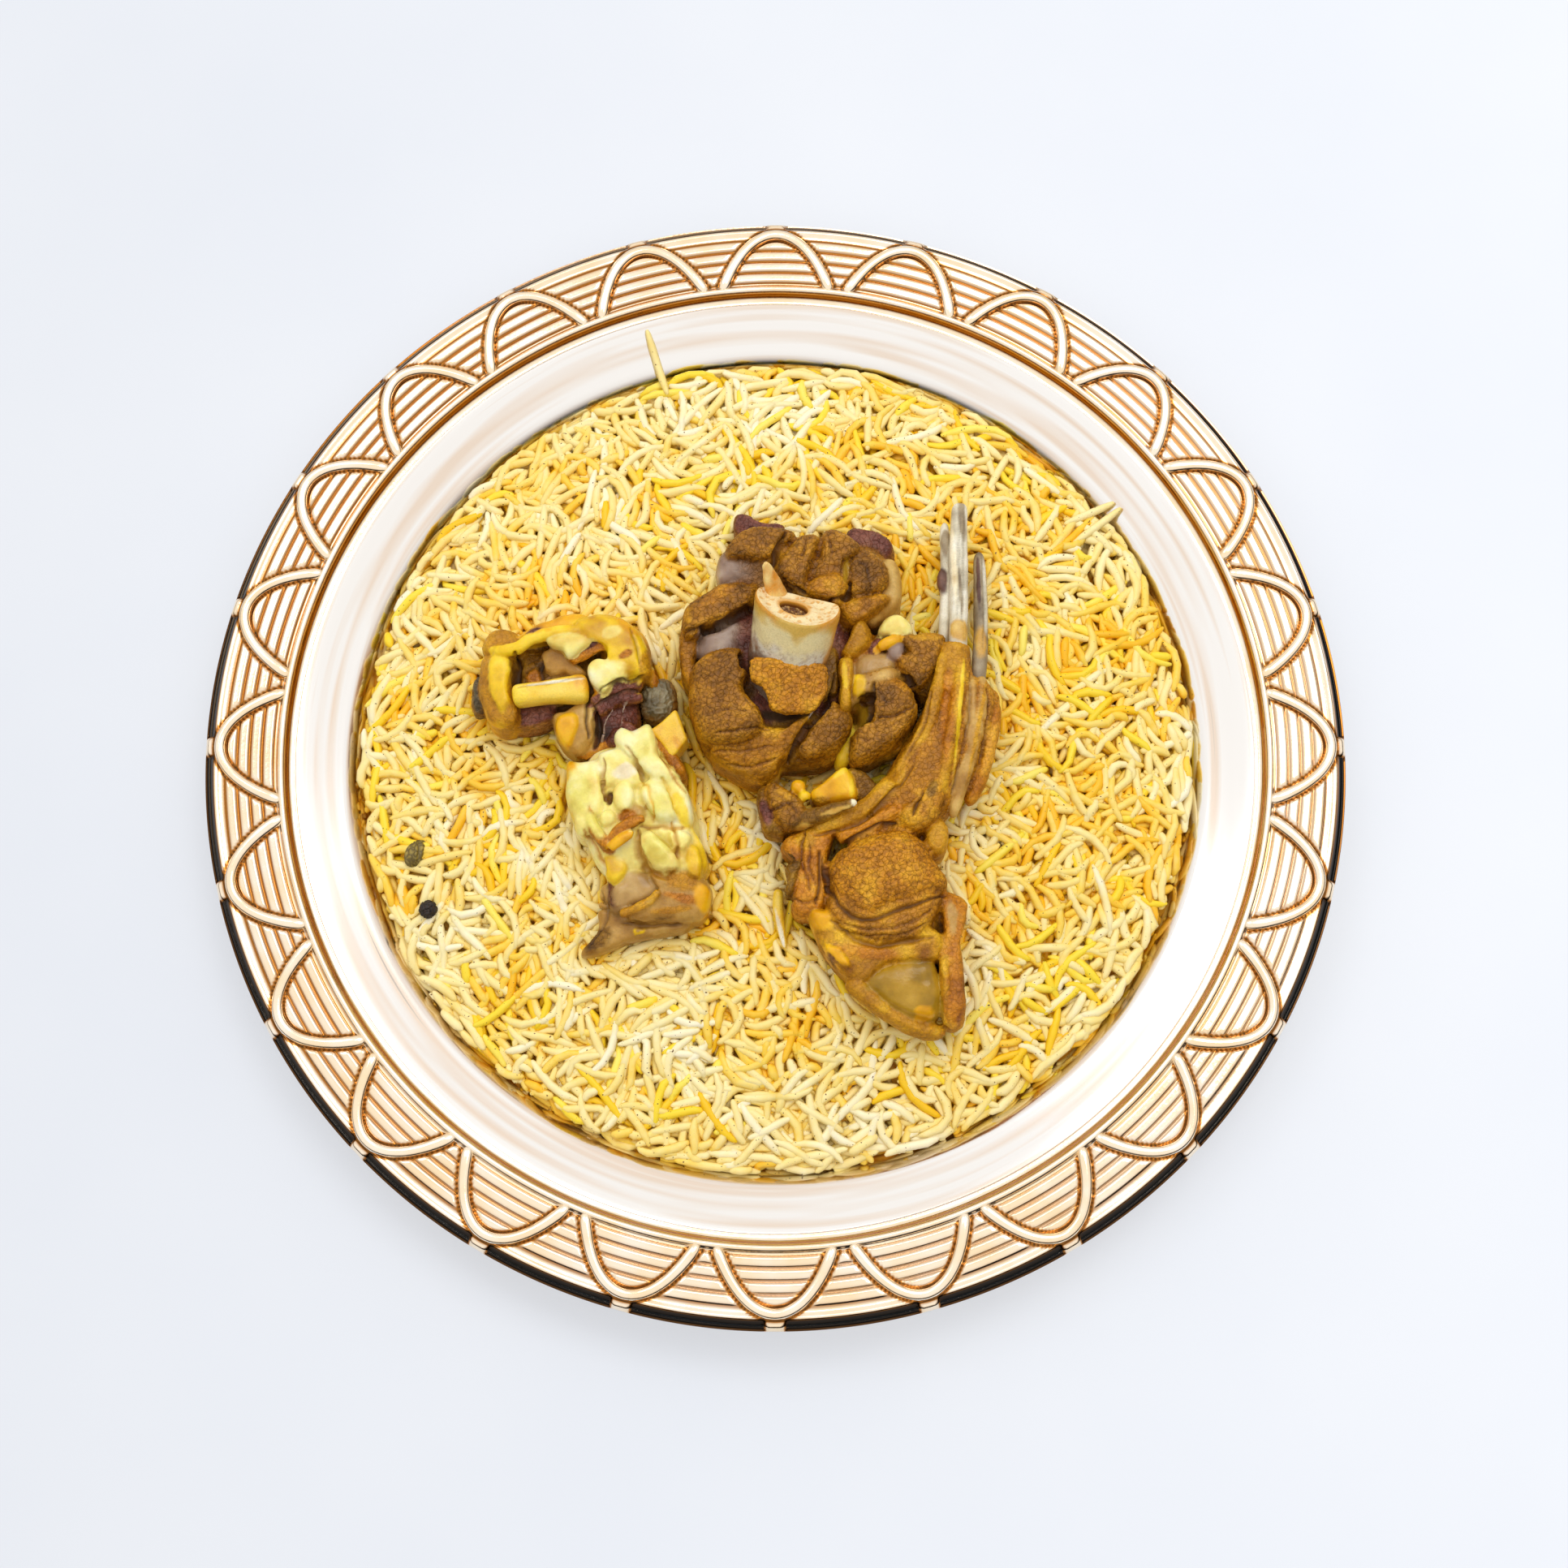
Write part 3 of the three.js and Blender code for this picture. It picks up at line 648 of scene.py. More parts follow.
@dataclass
class Tray:
    """The pressed tray: a steel bowl with a sloping ledge, and the gilt rim with its ridges, arches and lip."""

    floor_radius: float = 116.0
    panel_start: float = 152.7
    panel_height: float = 23.1
    groove_start: float = 153.3
    ridges: int = 4
    ridge_pitch: float = 3.78
    ridge_rise: float = 0.75
    groove_width: float = 0.52
    arches: int = 24
    arch_rise: float = 1.75
    arch_half_width: float = 1.75
    arch_foot_radius: float = 151.2
    arch_tip_radius: float = 170.1
    arch_half_angle: float = 6.6
    bevel_start: float = 171.4
    bevel_drop: float = 1.9
    bevel_gap: float = 4.4
    bowl_columns: int = 360
    sector_columns: int = 48

    def rim_rows(self) -> tuple[np.ndarray, int]:
        """(radius, height) rows of the rim without ridges, from its inner edge over the lip to its underside.

        Returns:
            The rows, and how many of them are on the top side.
        """
        bead = smooth_path([(147.0, 20.95), (148.0, 21.0), (149.0, 21.35), (149.7, 22.3), (150.2, 23.5),
                            (151.1, 24.2), (152.0, 23.95), (152.7, 23.2)], 14)
        panel_end = self.groove_start + self.ridges * self.ridge_pitch + 1.2
        panel = np.linspace(self.panel_start, panel_end, 51)[1:]
        edge = smooth_path([(panel_end + 0.3, 23.1), (171.2, 23.1), (172.6, 23.05), (173.7, 22.8),
                            (174.5, 21.8), (175.0, 19.9), (174.8, 18.5)], 16)
        under = smooth_path([(174.0, 18.6), (173.6, 21.6), (165.0, 21.6), (151.0, 21.9), (149.0, 20.6),
                             (147.0, 19.75)], 6)
        flat = np.stack([panel, np.full(len(panel), self.panel_height)], -1)
        return np.concatenate([bead, flat, edge, under]), len(bead) + len(flat) + len(edge)

    def arch_line(self, count: int) -> np.ndarray:
        """(count, 2) radius and angle in degrees of an arch's middle line, a parabola from foot to foot."""
        way = np.linspace(-1, 1, count)
        radius = self.arch_tip_radius - way**2 * (self.arch_tip_radius - self.arch_foot_radius)
        return np.stack([radius, way * self.arch_half_angle], -1)

    def arch_distance(self, radius: np.ndarray, angle: np.ndarray) -> np.ndarray:
        """Distance in plan from points to the middle line of the arch.

        Args:
            radius: (rows, columns) radii.
            angle: (rows, columns) angles in degrees from the arch's middle.

        Returns:
            (rows, columns) millimetres.
        """
        line = self.arch_line(200)
        turn = np.radians(line[:, 1])
        away = np.full(radius.shape, 1e9)
        x, y = radius * np.sin(np.radians(angle)), radius * np.cos(np.radians(angle))
        for spot_x, spot_y in zip(line[:, 0] * np.sin(turn), line[:, 0] * np.cos(turn)):
            away = np.minimum(away, np.hypot(x - spot_x, y - spot_y))
        return away

    def all_round(self, values: np.ndarray) -> np.ndarray:
        """One sector's (rows, columns) values repeated for every arch."""
        return np.tile(values, (1, self.arches))

    def rim(self) -> Surface:
        """The gilt rim: the rows turned round the tray, with ridges and a bevelled lip on their top side.

        Ridge = rise * (1 - exp(-(distance to the nearest groove / groove width)^2)), so ridges are flat and the
        grooves between them narrow; it fades beside the arch. Between two arch tips the lip is bevelled: it
        rises to a crest at bevel_start and falls outwards from there; at each tip it stays flat for the length
        of the gap.

        Painted shade and painted dark reflection are kept as one value: shade in the grooves, deepest at the
        upper left, a dark line beside each arch and one inside the bead; the bevel is dark, a painted reflection,
        but for its outer edge, which widens towards the back.
        """
        rows, top = self.rim_rows()
        count = self.sector_columns
        sector = (np.arange(count) - (count - 1) / 2) * 360 / self.arches / count
        radius = np.repeat(rows[:, :1], count, 1)
        height = np.repeat(rows[:, 1:], count, 1)
        angle = np.repeat(sector[None], len(rows), 0)
        away = self.arch_distance(radius, angle)
        number = np.clip(np.round((radius - self.groove_start) / self.ridge_pitch), 0, self.ridges)
        groove = radius - self.groove_start - number * self.ridge_pitch
        ridge = 1 - np.exp(-((groove / self.groove_width) ** 2))
        last = self.groove_start + self.ridges * self.ridge_pitch
        on_top = (np.arange(len(rows)) < top)[:, None]
        ridged = on_top & (radius > self.groove_start) & (radius < last)
        beside = ease(away, self.arch_half_width, self.arch_half_width + 1.3)
        height += np.where(ridged, self.ridge_rise * ridge * beside, 0)
        out = np.clip((radius - self.bevel_start) / (174.6 - self.bevel_start), 0, 1)
        crest = 0.75 * np.exp(-(((radius - self.bevel_start) / 1.1) ** 2))
        beyond = ease(np.abs(np.radians(angle)) * radius, self.bevel_gap / 2, self.bevel_gap / 2 + 1.2)
        bevel = (crest - self.bevel_drop * np.sin(0.5 * math.pi * out)) * beyond
        bevel *= 1 - ease(radius, 174.4, 175.0)
        height += np.where(on_top & (radius > last), bevel, 0)

        turns = np.arange(self.arches) * 360 / self.arches + 90
        around = np.radians((sector[None, :] + turns[:, None]).reshape(-1))
        # painted shade in the grooves, made deeper towards the upper left below
        groove_shade = 0.46 * np.exp(-((groove / 0.45) ** 2)) + 0.24 * np.exp(-((groove / 1.1) ** 2))
        grooved = groove_shade * (ridged | (on_top & (np.abs(radius - last) < 0.8))) * beside
        # painted shade: a dark line beside each arch
        edged = np.exp(-(((away - self.arch_half_width - 0.25) / 0.48) ** 2))
        edged = edged * (on_top & (radius > self.panel_start))
        recess = self.all_round(grooved) * (0.74 + 0.26 * np.cos(around - 2.36)) + self.all_round(edged)
        # painted dark reflection over the bevel, but for its outer edge, which widens towards the back
        upper = np.clip(np.sin(around + 0.3), 0, 1)
        wide = self.all_round(radius)
        lip = self.all_round(on_top * beyond) * ease(wide - (self.bevel_start + 0.2 + 0.8 * upper), 0, 0.5)
        unshaded_edge = (0.1 + 0.75 * upper) * ease(wide + 0.6 * upper, 174.2, 174.8)
        recess = recess * (1 - lip) + lip * (1 - unshaded_edge)
        # painted shade: a dark line inside the bead
        bead = np.exp(-(((rows[:, :1] - 149.7) / 0.45) ** 2)) * on_top
        recess = recess + bead * (0.62 + 0.16 * np.sin(around - 0.6))

        across, back = rows[:, :1] * np.cos(around), rows[:, :1] * np.sin(around)
        points = np.stack([across, back, self.all_round(height)], -1)
        faces = ring_quads(len(rows), len(around), closed_rows=True)
        shade_paint = np.clip(recess, 0, 1).ravel()
        return outward(Surface(points.reshape(-1, 3), faces, paint={"recess": shade_paint}))

    def arch_tubes(self) -> Surface:
        """The raised tubes of all arches, sunk by half, each swept along its parabola from bead to bead."""
        count = 64
        line = self.arch_line(count)
        turn = np.radians(90 - line[:, 1])
        level = np.full(count, self.panel_height)
        path = np.stack([line[:, 0] * np.cos(turn), line[:, 0] * np.sin(turn), level], -1)
        way = np.abs(np.linspace(-1, 1, count))
        ends = np.sqrt(np.clip(1 - way**20, 0.05, 1))
        flare = 1 + 0.25 * way**5
        rings = swept(path, self.arch_half_width * ends * flare, self.arch_rise * ends, 20, 2.3)
        one = capped_tube(rings)
        tubes = []
        for number in range(self.arches):
            spin = about_z(2 * math.pi * number / self.arches)
            tubes.append(Surface(one.points @ spin.T, one.quads, one.triangles))
        return outward(merged(tubes))

    def bowl(self) -> Surface:
        """The steel bowl: a closed section from the middle over floor, wall and ledge, and back underneath.

        Painted as "streak" are wiping marks that follow the spin, and as "turn" a painted dark reflection: a line
        at the back where the wall turns into the ledge.
        """
        top = [(10.0, 1.2), (70.0, 1.2), (self.floor_radius, 1.2), (120.5, 1.9), (124.5, 5.2), (128.7, 11.1),
               (129.5, 12.15), (130.3, 12.95), (131.1, 13.64), (131.9, 14.27), (132.7, 14.82), (133.6, 15.28),
               (135, 15.86), (139.0, 17.6), (143.5, 19.6), (146.2, 20.7), (147.35, 21.0)]
        under = [(147.35, 19.9), (143.5, 18.4), (134.0, 14.2), (131.5, 13.2), (126.0, 5.2), (122.0, 1.4),
                 (116.6, 0.0), (70.0, 0.0), (10.0, 0.0)]
        rows = np.concatenate([smooth_path(top, 60), smooth_path(under, 26)])
        angle = np.linspace(0, 2 * math.pi, self.bowl_columns, endpoint=False)
        wide = rows[:, :1]
        level = np.repeat(rows[:, 1:], len(angle), 1)
        bowl = capped_tube(np.stack([wide * np.cos(angle), wide * np.sin(angle), level], -1))
        turned = np.arctan2(bowl.points[:, 1], bowl.points[:, 0])
        radius = np.hypot(bowl.points[:, 0], bowl.points[:, 1])
        polar = np.stack([radius * 12, 40 * np.cos(turned), 40 * np.sin(turned)], -1)
        streak = soft_noise(polar, 22, 71, 3)
        behind = np.clip(0.25 + 0.75 * np.sin(turned - 0.15), 0, 1) * np.clip(1 + 0.8 * streak, 0, 1)
        # painted dark reflection where the wall turns, strongest at the back
        turn = behind * np.exp(-(((radius - 130.4) / 0.75) ** 2)) * (bowl.points[:, 2] > 12.6)
        bowl.paint = {"streak": np.clip(0.5 + 0.6 * streak, 0, 1), "turn": turn}
        return outward(bowl)

    def build(self) -> None:
        """Makes the pieces of the tray."""
        gilt = GiltPlating().build()
        settle("tray_gilt_rim", self.rim(), gilt, ["tray"])
        settle("tray_gilt_arches", self.arch_tubes(), gilt, ["tray"])
        settle("tray_steel_bowl", self.bowl(), PolishedSteel(), ["tray"])


# ---------------------------------------------------------------------------------------------- meat shapes


@dataclass(frozen=True)
class Lump:
    """A rounded block of meat, bone or fat: |x/a|^n + |y/b|^n + |z/c|^n = 1, turned about Z and leaned about X.

    Attributes:
        at: middle, in millimetres.
        half: half sizes.
        flesh: what it is made of.
        turn: degrees about Z.
        lean: degrees about X, before the turn.
        square: the power n.
    """

    at: tuple[float, float, float]
    half: tuple[float, float, float]
    flesh: Any = None
    turn: float = 0.0
    lean: float = 0.0
    square: float = 2.5

    def frame(self) -> np.ndarray:
        """(3, 3) matrix whose columns are the lump's own axes."""
        up, over = math.cos(math.radians(self.lean)), math.sin(math.radians(self.lean))
        return about_z(math.radians(self.turn)) @ np.array([[1, 0, 0], [0, up, -over], [0, over, up]])

    def reach(self, points: np.ndarray) -> np.ndarray:
        """How far points lie out from the middle, as a share of the way to the skin."""
        own = np.abs((points - self.at) @ self.frame()) / self.half
        return (own**self.square).sum(1) ** (1 / self.square)

    def skin(self, rows: int = 25, columns: int = 48) -> Surface:
        """The closed skin: a ball's points moved out along their rays until the sum of powers is one."""
        polar = np.linspace(0, math.pi, rows + 2)[1:-1, None]
        round_z = np.linspace(0, 2 * math.pi, columns, endpoint=False)[None]
        ray = np.stack([np.sin(polar) * np.cos(round_z), np.sin(polar) * np.sin(round_z),
                        np.cos(polar) + 0 * round_z], -1)
        own = ray / (np.abs(ray / self.half) ** self.square).sum(-1, keepdims=True) ** (1 / self.square)
        surface = capped_tube(own)
        tips = np.array([[0, 0, self.half[2]], [0, 0, -self.half[2]]])
        surface.points[-2:] = tips
        surface.points = surface.points @ self.frame().T + self.at
        return surface

    def underside(self, x: np.ndarray, y: np.ndarray) -> np.ndarray:
        """The height of the lump's lower skin over places in plan, the lean left out, and FAR beside it."""
        across, along = own_axes(x - self.at[0], y - self.at[1], self.turn)
        used = np.abs(across / self.half[0]) ** self.square + np.abs(along / self.half[1]) ** self.square
        drop = self.half[2] * np.clip(1 - used, 0, 1) ** (1 / self.square)
        return np.where(used < 1, np.maximum(self.at[2] - drop, SEAT), FAR)


@dataclass(frozen=True)
class Bar:
    """A bar along drawn stations of x,y,z,half width,half height, squared like a lump."""

    stations: str
    flesh: Any = None
    square: float = 2.4

    def rows(self, count: int = 40) -> np.ndarray:
        """(count, 5) stations on a smooth curve through the given ones."""
        return smooth_path(drawn(self.stations), count)

    def reach(self, points: np.ndarray) -> np.ndarray:
        """How far points lie out from the middle line, as a share of the way to the skin beside it."""
        rows = self.rows()
        away = points[:, None, :] - rows[None, :, :3]
        flat = np.hypot(away[..., 0], away[..., 1]) / rows[None, :, 3]
        return np.hypot(flat, away[..., 2] / rows[None, :, 4]).min(1)

    def skin(self) -> Surface:
        """The closed skin, its ends drawn in like a ball's."""
        rows = self.rows(60)
        way = np.linspace(-1, 1, len(rows))
        ends = np.sqrt(np.clip(1 - np.abs(way) ** 16, 0.02, 1))
        return capped_tube(swept(rows[:, :3], rows[:, 3] * ends, rows[:, 4] * ends, 32, self.square))

    def underside(self, x: np.ndarray, y: np.ndarray) -> np.ndarray:
        """The height of the lower skin over places in plan, and FAR beside it."""
        under = np.full(x.shape, FAR)
        for px, py, pz, wide, high in self.rows(24):
            used = ((x - px) ** 2 + (y - py) ** 2) / wide**2
            low = np.maximum(pz - high * np.sqrt(np.clip(1 - used, 0, 1)), SEAT)
            under = np.where(used < 1, np.minimum(under, low), under)
        return under


@dataclass(frozen=True)
class Slice:
    """A lobe, flap or sheet with an outline of its own: a slab between two levels with rounded edges.

    At angle a about the outline's middle the outline is R(a) away. The skin lies at the share s of R(a) where
    s^n + |level from the middle level / half thickness|^n = 1, and the whole slab may be tilted.

    Attributes:
        outline: corners x,y in plan, drawn in order round the slab.
        high: level of its top.
        flesh: what it is made of.
        slope: rise of the slab per millimetre towards +X and +Y.
        square: the power n.
        low: level of its underside.
    """

    outline: str
    high: float
    flesh: Any = None
    slope: tuple[float, float] = (0.0, 0.0)
    square: float = 5.0
    low: float = 19.0

    def middle(self) -> np.ndarray:
        """(2,) the middle of the box round the outline."""
        corners = drawn(self.outline)
        return (corners.min(0) + corners.max(0)) / 2

    def radius(self, angle: np.ndarray) -> np.ndarray:
        """How far the outline, drawn as a closed smooth line, lies from its middle at angles in radians."""
        corners = drawn(self.outline)
        count = len(corners)
        line = smooth_path(corners[np.arange(-2, count + 3) % count], 12 * (count + 4))[24:-24] - self.middle()
        bins = 150
        number = ((np.arctan2(line[:, 1], line[:, 0]) / (2 * math.pi) % 1) * bins).astype(int) % bins
        far = np.zeros(bins)
        np.maximum.at(far, number, np.hypot(line[:, 0], line[:, 1]))
        filled = np.flatnonzero(far)
        return np.interp(angle / (2 * math.pi) % 1 * bins, filled + 0.5, far[filled], period=bins)

    def level(self, x: np.ndarray, y: np.ndarray) -> np.ndarray:
        """Rise of the tilted slab over its middle, at places in plan."""
        middle = self.middle()
        return self.slope[0] * (x - middle[0]) + self.slope[1] * (y - middle[1])

    def reach(self, points: np.ndarray) -> np.ndarray:
        """How far points lie out from the middle, as a share of the way to the skin."""
        away = points[:, :2] - self.middle()
        share = np.hypot(away[:, 0], away[:, 1]) / self.radius(np.arctan2(away[:, 1], away[:, 0]))
        up = points[:, 2] - self.level(points[:, 0], points[:, 1]) - (self.low + self.high) / 2
        rise = np.abs(up / (self.high - self.low) * 2)
        return (share**self.square + rise**self.square) ** (1 / self.square)

    def skin(self, rows: int = 33, columns: int = 150) -> Surface:
        """The closed skin: rings of the outline, drawn in towards the top and the underside."""
        polar = np.linspace(0, math.pi, rows + 2)[1:-1]
        share = np.sin(polar) ** (2 / self.square)
        lift = np.sign(np.cos(polar)) * np.abs(np.cos(polar)) ** (2 / self.square)
        angle = np.linspace(0, 2 * math.pi, columns, endpoint=False)
        wide = share[:, None] * self.radius(angle)[None]
        x = self.middle()[0] + wide * np.cos(angle)
        y = self.middle()[1] + wide * np.sin(angle)
        z = (self.low + self.high) / 2 + lift[:, None] * (self.high - self.low) / 2 + self.level(x, y)
        return capped_tube(np.stack([x, y, z], -1))

    def underside(self, x: np.ndarray, y: np.ndarray) -> np.ndarray:
        """The height of the slab's underside over places in plan, and FAR beside it."""
        away_x, away_y = x - self.middle()[0], y - self.middle()[1]
        share = np.hypot(away_x, away_y) / self.radius(np.arctan2(away_y, away_x))
        left = np.clip(1 - np.clip(share, 0, 1) ** self.square, 0, 1)
        drop = (self.high - self.low) / 2 * left ** (1 / self.square)
        under = (self.low + self.high) / 2 + self.level(x, y) - drop
        return np.where(share < 1, np.maximum(under, SEAT), FAR)


# ---------------------------------------------------------------------------------------------- meat


class Tissue(Enum):
    """What meat is made of: dark, middle and light colour, roughness, and how much its skin cracks."""

    ROAST = ("#603a02", "#9c6408", "#c6881c", 0.42, 1.0)
    SINGED = ("#7a4803", "#b87708", "#e2a61e", 0.4, 0.7)
    LOIN = ("#945802", "#c68008", "#e2a41e", 0.46, 1.0)
    CRUST = ("#945a08", "#c68a10", "#e8b424", 0.4, 0.4)
    PLUM = ("#4a2018", "#7a4232", "#a06a50", 0.34, 0.8)
    MEMBRANE = ("#6a5242", "#9c8270", "#c2ae9a", 0.22, 0.0)
    FASCIA = ("#90601c", "#ba8c40", "#dcb868", 0.28, 0.1)
    FILM = ("#86602c", "#b89254", "#d8b87c", 0.18, 0.0)
    GOLD_FAT = ("#c48a08", "#eec41c", "#f9dc48", 0.26, 0.05)
    PALE_FAT = ("#dab03c", "#f1e284", "#fbf4c4", 0.18, 0.0)
    GREEN_FAT = ("#c4a434", "#e6da70", "#f6efb4", 0.15, 0.0)
    CARTILAGE = ("#84620e", "#b0861e", "#caa03a", 0.18, 0.0)
    RUST = ("#904e08", "#c67c10", "#e8a92e", 0.36, 0.5)
    UMBER = ("#4a2c04", "#84580c", "#b08022", 0.42, 0.7)
    AMBER = ("#b87808", "#e6a810", "#f6cc24", 0.28, 0.0)
    # SHADOW is painted shade: the dark of gaps, crevices and undersides, put on as if it were a tissue
    SHADOW = ("#24140a", "#3c2610", "#54381a", 0.6, 0.1)
    RIB = ("#9c8c70", "#d6ccb0", "#f2ecda", 0.36, 0.0)
    IVORY = ("#cdb484", "#f0e2bc", "#fbf5e2", 0.4, 0.0)
    ASH_BONE = ("#5c4a36", "#9a8768", "#c6b898", 0.5, 0.0)
    STAINED_BONE = ("#9a681c", "#cc9c3c", "#ead07c", 0.38, 0.0)
    YELLOW_BONE = ("#dc9414", "#f0c42c", "#f7d658", 0.32, 0.0)
    SCAB = ("#2c1812", "#553426", "#7d5440", 0.5, 0.3)
    SPONGE = ("#3c3220", "#706244", "#a69870", 0.4, 1.0)

    @property
    def ramp(self) -> np.ndarray:
        """(3, 3) linear colours, dark to light."""
        return np.array([linear(code) for code in self.value[:3]])

    @property
    def gloss(self) -> float:
        """Roughness of the skin."""
        return self.value[3]

    @property
    def cracks(self) -> float:
        """How much the skin cracks, 0 to 1."""
        return self.value[4]


@dataclass(frozen=True)
class Patch:
    """A stained spot, film or other tissue, or painted shade, that shows in an oval seen from above, with a
    ragged edge.

    Attributes:
        at: middle in plan.
        half: half sizes in plan.
        flesh: what shows there.
        turn: degrees about Z.
        above: the patch starts over this height.
        below: the patch ends under this height.
        rise: how far the surface stands proud there, in millimetres, less than 0 to sink.
    """

    at: tuple[float, float]
    half: tuple[float, float]
    # flesh: what shows there, T.SHADOW for painted shade.
    flesh: Tissue
    turn: float = 0.0
    above: float = 0.0
    below: float = 99.0
    rise: float = 0.0

    def share(self, points: np.ndarray, ragged: np.ndarray) -> np.ndarray:
        """How much of the patch each point has, from 0 to 1: 1 inside the oval, fading over a ragged edge."""
        across, along = own_axes(points[:, 0] - self.at[0], points[:, 1] - self.at[1], self.turn)
        out = np.hypot(across / self.half[0], along / self.half[1]) + 0.4 * ragged
        level = ease(points[:, 2] + 1.2 * ragged, self.above - 0.8, self.above + 0.8)
        level *= 1 - ease(points[:, 2] + 1.2 * ragged, self.below - 0.8, self.below + 0.8)
        return (1 - ease(out, 0.7, 1.15)) * level


@dataclass(frozen=True)
class Seam:
    """A groove, gap or raised cord along a line seen from above.

    Attributes:
        line: its points x,y in plan, drawn.
        width: half width.
        depth: how far it sinks, less than 0 to stand proud.
        flesh: what shows along it, or None for what is there.
        above: the seam starts over this height.
    """

    line: str
    width: float
    # flesh: what shows along it, or None for what is there, then darkened as painted shade if it sinks.
    depth: float
    flesh: Tissue | None = None
    above: float = 0.0

    def share(self, points: np.ndarray, ragged: np.ndarray) -> np.ndarray:
        """exp(-(distance to the line / width)^2), fading at the ends."""
        line = drawn(self.line)
        rows = smooth_path(line, 16 * len(line))
        away = np.full(len(points), 99.0)
        box = (np.abs(points[:, :2] - rows.mean(0)) < np.ptp(rows, axis=0) / 2 + 6 * self.width + 3).all(1)
        some = points[box, :2] + 0.8 * ragged[box, None]
        apart = np.hypot(some[:, None, 0] - rows[None, :, 0], some[:, None, 1] - rows[None, :, 1])
        way = apart.argmin(1) / (len(rows) - 1)
        taper = 0.35 + 0.65 * np.sqrt(np.clip(4 * way * (1 - way), 0, 1))
        away[box] = apart.min(1) / taper
        return np.exp(-((away / self.width) ** 2)) * ease(points[:, 2], self.above - 1, self.above)


@dataclass(frozen=True)
class CookedFlesh:
    """Stewed and roasted lamb: moist fibres under a browned skin, painted by tissue and crazed as it shrank."""

    name: str = "cooked_lamb"
    craze: float = 1.6
    fibre: float = 0.8

    def build(self) -> bpy.types.Material:
        """The tissue's colour, mottled at a fibre's size, darker in the crazing where the skin cracks.

        Colour = tint * (1 + mottle * coarse - 0.34 * depth), where depth is the crazing times how much the skin
        cracks, and coarse is 0.28 on smooth tissue and 1 where the skin cracks.
        """
        if self.name in bpy.data.materials:
            return bpy.data.materials[self.name]
        mix = recipe(self.name)
        cracks = mix.painted("cracks")
        push = mix.scaled(mix.noise(3.5, 2.0, output="Color"), 0.0018)
        bent = mix.add("VectorMath", "Vector", {0: mix.place, 1: push}, operation="ADD")
        depth = mix.reckon("MULTIPLY", mix.ranged(mix.cells(self.craze, bent), (0, 0.08), (1, 0)), cracks)
        fibre = mix.noise(self.fibre, 3.0, 0.6)
        coarse = mix.ranged(cracks, (0, 0.35), (0.28, 1))
        mottle = mix.reckon("MULTIPLY_ADD", mix.ranged(fibre, (0.3, 0.7), (-0.17, 0.16)), coarse, 1.0)
        loss = mix.reckon("MULTIPLY_ADD", depth, -0.34, mottle)
        high = mix.reckon("SUBTRACT", mix.reckon("MULTIPLY", fibre, coarse), depth)
        return mix.closed(
            {
                "Base Color": mix.scaled(mix.painted("tint", "Color"), loss),
                "Roughness": mix.painted("gloss"),
                "Specular IOR Level": 0.32,
                "Subsurface Weight": mix.ranged(cracks, (0, 0.3), (0.3, 0)),
                "Subsurface Radius": (1.0, 0.6, 0.2),
                "Subsurface Scale": 0.002,
                "Normal": mix.bump(high, 0.5, 0.00045),
            }
        )


